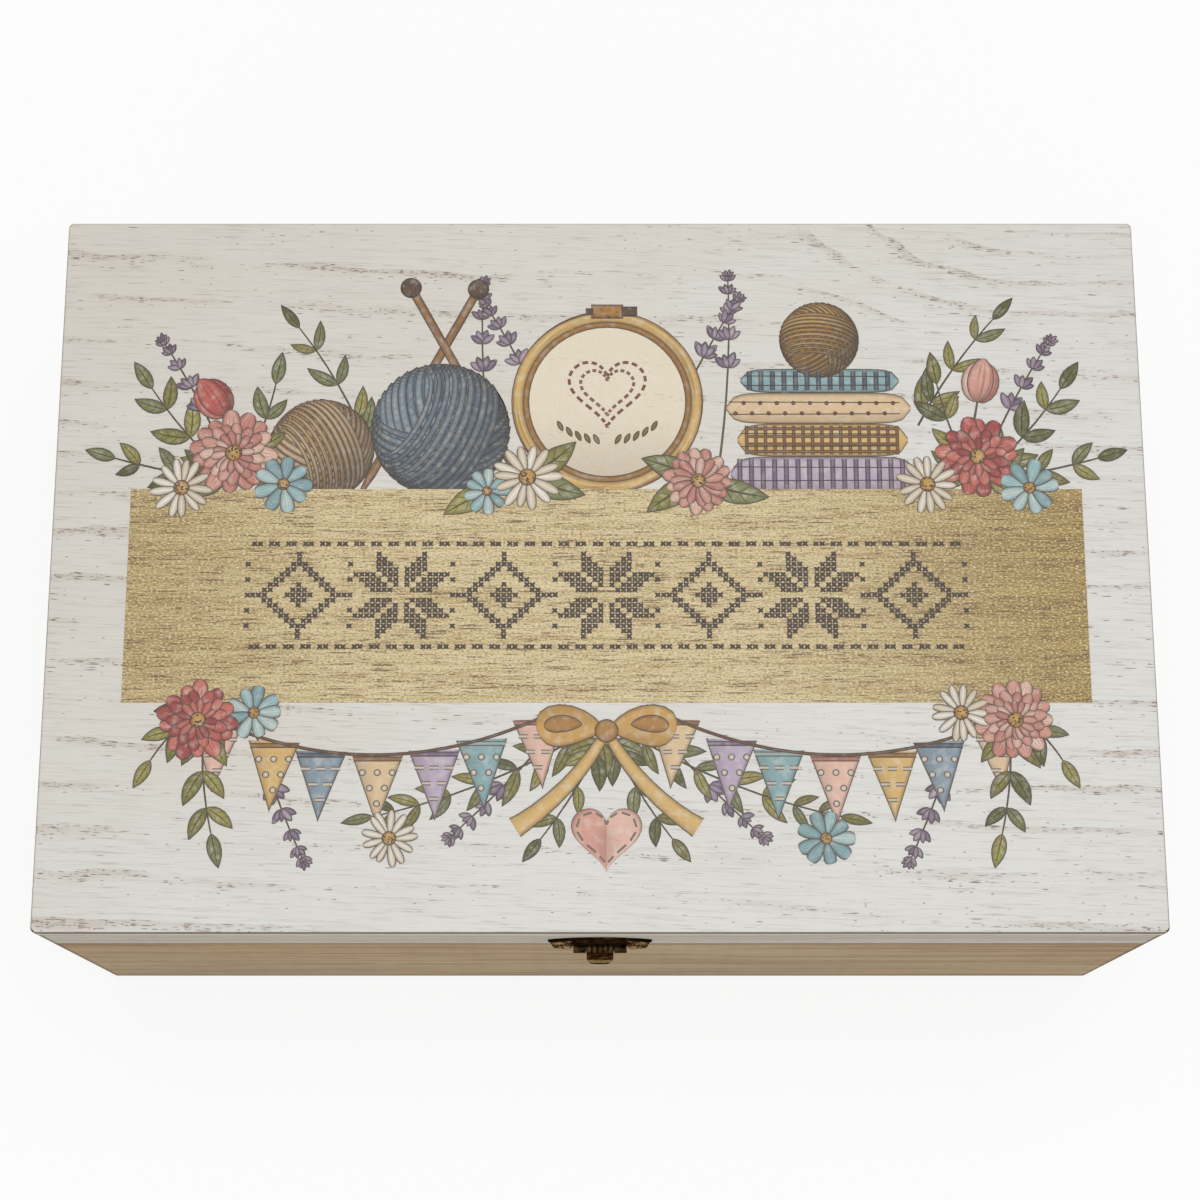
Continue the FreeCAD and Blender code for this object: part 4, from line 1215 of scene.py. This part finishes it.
def carried(outlines):
    """The closed skin of closed outlines, each joined to the next and the last to the first. Its faces turn
    outwards: where the volume that they enclose comes out negative, each is read the other way round."""
    steps, count = outlines.shape[:2]
    spot = np.arange(steps * count).reshape(steps, count)
    faces = grid_faces(np.pad(spot, (0, 1), mode="wrap").T)
    points = outlines.reshape(-1, 3)
    a, b, c, d = (points[faces[:, corner]] for corner in range(4))
    volume = (a * (np.cross(b, c) + np.cross(c, d))).sum()
    return points, faces if volume > 0 else faces[:, ::-1]


def knuckle(profile):
    """A rolled knuckle: a closed outline, of distances along the hasp's pin and from its axis, turned once
    round that axis."""
    turn = 2 * np.pi * np.arange(KNUCKLE_STEPS) / KNUCKLE_STEPS
    along = np.broadcast_to(profile[:, 0], (KNUCKLE_STEPS, len(profile)))
    out = HASP_AXIS.y + profile[:, 1] * np.cos(turn)[:, None]
    up = HASP_AXIS.z + profile[:, 1] * np.sin(turn)[:, None]
    return carried(np.stack((along, out, up), 2))


share_x, share_z = np.meshgrid(np.linspace(-1, 1, 225), np.linspace(0, 1, 81), indexing="ij")
plate_x = share_x * (PLATE_HALF - SIDE_ROOM)
low_edge, high_edge = plate_outline(plate_x)
plate_z = low_edge + share_z * (high_edge - low_edge)
height = plate_relief(plate_x, plate_z, low_edge, high_edge)
dome = step(high_edge - plate_z, 0.9, 4.6) * step(abs(plate_x), *MIDDLE_END)
dome = dome * step(PLATE_HALF - abs(plate_x), 0.0, 1.5)
plate_out = SHEET + EMBOSS * (0.42 * height + 0.66 * dome)
plate_front = np.stack((plate_x, HASP_OUT - plate_out, HASP_AXIS.z + plate_z), 2)
plate_back = np.stack((plate_x, np.full_like(plate_x, HASP_OUT), HASP_AXIS.z + plate_z), 2)
plate_shells = [skin(plate_front, plate_back)]
for sign in (-1, 1):
    left, right = sorted((sign * TONGUE_ROOM, sign * KNUCKLE_END))
    outline = np.array((
        (left, BORE), (left, KNUCKLE_RADIUS - ROUNDED), (left + ROUNDED, KNUCKLE_RADIUS),
        (right - ROUNDED, KNUCKLE_RADIUS), (right, KNUCKLE_RADIUS - ROUNDED), (right, BORE),
    ))
    plate_shells.append(knuckle(outline))
plate_wear = np.full(sum(len(points) for points, faces in plate_shells), 0.2)
plate_wear[:height.size] = (height * 1.05 - 0.12 + 0.16 * (abs(plate_x) < 7.5)).ravel()
plate_bronze = bronze("antique_bronze_plate", kept_wear)
metal_piece("hasp_plate_embossed", plate_shells, "lid", plate_bronze, plate_wear, "hasp_plate")
eased("hasp_pin", METAL_ARRIS, bronze_sheet)


# Round nails: they hold the hasp's plate and the catch, and are driven through from the front. Their
# heads are domed and rubbed bright.

NAIL_DOME = 0.5


def nail_wear(start):
    """Nail heads are rubbed all over, a little unevenly."""
    return start.noise(*start.place()) * 0.6 + 0.35


def domed_nails(node, body):
    """Heads as discs bowed out to a dome, a quarter circle from rim to crown."""
    low, high = box(node)
    radius = (high.z - low.z) / 2
    plan = disc((0, 0), radius, 17)[0]
    dome = np.sqrt(np.maximum(1 - (plan ** 2).sum(2) / radius ** 2, 0))
    face = low.y + NAIL_DOME * (1 - dome)
    places = (low.x + radius, high.x - radius)
    shells = [head(x, (low.z + high.z) / 2, plan, face, low.y + 2 * NAIL_DOME) for x in places]
    metal_piece(f"{node}_domed", shells, body, bronze(f"antique_bronze_{node}", nail_wear), node=node)


domed_nails("hasp_nails", "lid")
domed_nails("catch_nails", "base")


# Catch: a small plate nailed to the base's front, with a wedge of a nose that the tongue springs over.
# It lies in the tongue's shade, which is painted into its bronze as a dark colour all over, and is rubbed
# only on the front of its nose.

NOSE_HALF = 2.66
NOSE_TOP = 4.6
NOSE_FOOT = 8.4
NOSE_REACH = 3.55
NOSE_ROOT = 0.4
NOSE_SUNK = 0.1
NOSE_DROPS = (NOSE_TOP, 6.3, 7.4, 8.1, NOSE_FOOT)
NOSE_OUTS = (NOSE_ROOT, 3.0, NOSE_REACH, NOSE_REACH, NOSE_ROOT)


def catch_shade_and_wear(start):
    """Painted shade: dark all over, for the shadow that the tongue casts on the catch, and browner towards
    the tip of the nose.
    """
    return (HASP_OUT - start.place()[1]).rise(2.6, 3.4) * 0.2 + 0.1


# The catch's bronze carries painted shade: it is kept dark all over for the tongue's shadow.
catch_bronze = bronze("antique_bronze_catch", catch_shade_and_wear)
eased("catch_plate", METAL_ARRIS, catch_bronze)
nose_levels = np.linspace(NOSE_FOOT, NOSE_TOP, 33)
nose_share, nose_drop = np.meshgrid(np.linspace(-1, 1, 29), nose_levels, indexing="ij")
nose_x = nose_share * NOSE_HALF
nose_out = np.interp(nose_drop, NOSE_DROPS, NOSE_OUTS) - 0.12 * step(abs(nose_share), 0.86, 1.0)
nose_out = np.maximum(nose_out, NOSE_ROOT)
nose_front = np.stack((nose_x, HASP_OUT - nose_out, HASP_AXIS.z - nose_drop), 2)
nose_back = np.stack((nose_x, np.full_like(nose_x, HASP_OUT - NOSE_SUNK), HASP_AXIS.z - nose_drop), 2)
metal_piece("catch_nose_rounded", [skin(nose_front, nose_back)], "base", catch_bronze)


# Hasp tongue: a strap rolled round the pin into a ribbed knuckle, sprung outwards to a rolled lip, with
# an arched window that drops over the catch's nose. Fingers have rubbed its rims and its lip.

STRAP = 0.65
STRAP_OUT = 2.8
STRAP_SPRING = 1.55
STRAP_LEVEL = 1.5
TONGUE_LOW = box("hasp_tongue")[0]
TONGUE_FOOT = TONGUE_LOW.z - HASP_AXIS.z
TONGUE_REACH = HASP_OUT - TONGUE_LOW.y
LIP_TOP = 11.0
WINDOW_HALF = 2.75
WINDOW_TOP = -2.3
WINDOW_FOOT = -8.8
WINDOW_MIDDLE = (WINDOW_TOP + WINDOW_FOOT) / 2
RIBS = 5
RIB_HEIGHT = 0.16


def round_outline(turn, half, up, down, up_power, down_power):
    """How far an outline lies from its middle in each direction: the sum of cos / half width and sin /
    height, both to a power, to the power of -1 / power. Height and power differ above and below."""
    above = np.sin(turn) > 0
    power = np.where(above, up_power, down_power)
    tall = np.where(above, up, down)
    return (abs(np.cos(turn) / half) ** power + abs(np.sin(turn) / tall) ** power) ** (-1 / power)


def strap_path(drop):
    """How far the strap's face stands out at each drop below the pin: level at first, then ever more
    sprung, with a lip that flares over the last two millimetres."""
    share = np.clip((drop - STRAP_LEVEL) / (-TONGUE_FOOT - STRAP_LEVEL), 0, 1)
    spring = STRAP_SPRING * share ** 1.15
    flare = (TONGUE_REACH - STRAP_OUT - STRAP_SPRING - RIB_HEIGHT) * step(drop, LIP_TOP, -TONGUE_FOOT)
    return STRAP_OUT + spring + flare


turn, share = np.meshgrid(2 * np.pi * np.arange(120) / 120, np.linspace(0, 1, 21), indexing="ij")
window_reach = (WINDOW_HALF, WINDOW_TOP - WINDOW_MIDDLE, WINDOW_MIDDLE - WINDOW_FOOT)
border_reach = (TONGUE_HALF - SIDE_ROOM, -WINDOW_MIDDLE, WINDOW_MIDDLE - TONGUE_FOOT)
window = round_outline(turn, *window_reach, 2.3, 9.0)
border = round_outline(turn, *border_reach, 14.0, 4.0)
from_middle = window + share * (border - window)
strap_x = from_middle * np.cos(turn)
strap_drop = -(WINDOW_MIDDLE + from_middle * np.sin(turn))
to_window = from_middle - window
rounded = step(np.minimum(to_window, border - from_middle), 0.0, 0.3)
rims = step(to_window, 0.75, 0.3) * rounded
raised = 0.12 * rims - 0.2 * (1 - rounded)
strap_y = HASP_OUT - strap_path(strap_drop)
strap_front = np.stack((strap_x, strap_y - raised, HASP_AXIS.z - strap_drop), 2)
strap_back = np.stack((strap_x, strap_y + STRAP, HASP_AXIS.z - strap_drop), 2)
roll_x = np.linspace(-TONGUE_HALF, TONGUE_HALF, 81)
roll = KNUCKLE_RADIUS - RIB_HEIGHT * (1 - abs(np.cos(roll_x / TONGUE_HALF * np.pi * RIBS / 2)) ** 0.7)
bore = np.array(((TONGUE_HALF, BORE), (-TONGUE_HALF, BORE)))
tongue_shells = [
    carried(np.concatenate((strap_front, strap_back[:, ::-1]), 1)),
    knuckle(np.concatenate((np.stack((roll_x, roll), 1), bore))),
]
rubbed_sides = step(abs(strap_x), 2.8, 3.2) * 0.5 * step(strap_drop, 2.0, 4.0)
rubbed_lip = 0.84 * step(strap_drop, 9.0, 9.6)
strap_wear = np.maximum(np.maximum(0.12, 0.5 * rims), np.maximum(rubbed_sides, rubbed_lip))
strap_wear = strap_wear * (1 - step(strap_drop, 12.0, 12.4))
strap_wear = np.concatenate((strap_wear, np.full_like(strap_wear, 0.1)), 1)
roll_wear = np.concatenate((0.36 * (roll - roll.min()) / RIB_HEIGHT, (0, 0)))
tongue_wear = np.concatenate((strap_wear.ravel(), np.tile(roll_wear, KNUCKLE_STEPS)))
metal_piece("hasp_tongue_ribbed", tongue_shells, "hasp", plate_bronze, tongue_wear, "hasp_tongue")


# Stage: a pale floor that takes a soft shadow, white all round it, two soft lamps, and the camera
# above the box's front.

WHITE = (1, 1, 1, 1)
FLOOR_REACH = 4.0
FLOOR_GREY = (0.93, 0.93, 0.93, 1)
FLOOR_GLOW = 0.86
ROOM_LIGHT = 0.36
BOX_MIDDLE = Vector((0, 0, 0.06))


def seen(start):
    """1 for what the camera sees, also in gloss or through glass, and 0 for light that falls on things."""
    kinds = ("Camera", "Glossy", "Transmission")
    eye, gloss, glass = (start.node("LightPath", output=f"Is {kind} Ray") for kind in kinds)
    return eye.most(gloss).most(glass)


world = bpy.data.worlds.new("white_room")
bpy.context.scene.world = world
world.use_nodes = True
sky = Finish(world.node_tree)
strength = ROOM_LIGHT + seen(sky) * (1 - ROOM_LIGHT)
sky.feed(world.node_tree.nodes["Background"], {"Color": WHITE, "Strength": strength})

floor_paint, start = new_finish("floor_paint")
coat(floor_paint, Base_Color=FLOOR_GREY, Roughness=0.9)
glow = start.node("Emission", sockets={"Color": WHITE, "Strength": 1.0})
x, y = start.place()[:2]
far = ((x * x + y * y) ** 0.5).rise(200, 700)
matt = Finish(floor_paint.node_tree, floor_paint.node_tree.nodes["Principled BSDF"].outputs[0])
glowing = seen(start) * (FLOOR_GLOW + far * (1 - FLOOR_GLOW))
both = start.node("MixShader", sockets={0: glowing, 1: matt, 2: glow})
start.feed(floor_paint.node_tree.nodes["Material Output"], {"Surface": both})
floor_mesh = bpy.data.meshes.new("floor")
floor_corners = FLOOR_REACH * np.array([(-1, -1, 0), (1, -1, 0), (1, 1, 0), (-1, 1, 0)])
floor_mesh.from_pydata(floor_corners.tolist(), [], [(0, 1, 2, 3)])
floor_mesh.materials.append(floor_paint)
placed("floor", floor_mesh)


def soft_lamp(name, place, size, power):
    """A square lamp that shines at the middle of the box."""
    lamp = bpy.data.lights.new(name, "AREA")
    lamp.size = size
    lamp.energy = power
    holder = placed(name, lamp)
    holder.location = place
    holder.rotation_euler = (BOX_MIDDLE - Vector(place)).to_track_quat("-Z", "Y").to_euler()


soft_lamp("top_lamp", (0.12, 0.02, 1.7), 1.3, 17.5)
soft_lamp("front_lamp", (-0.5, -1.5, 0.9), 0.9, 1.6)

CAMERA_PLACE = (0.0, -0.17436, 0.77256)
CAMERA_ELEVATION = 75.926
CAMERA_LENS = 74.734
camera = bpy.data.cameras.new("camera")
camera.lens = CAMERA_LENS
camera.sensor_width = 36.0
stand = placed("camera", camera)
stand.location = CAMERA_PLACE
stand.rotation_euler = (math.radians(90 - CAMERA_ELEVATION), 0, 0)
bpy.context.scene.camera = stand
bpy.context.scene.view_settings.view_transform = "Standard"
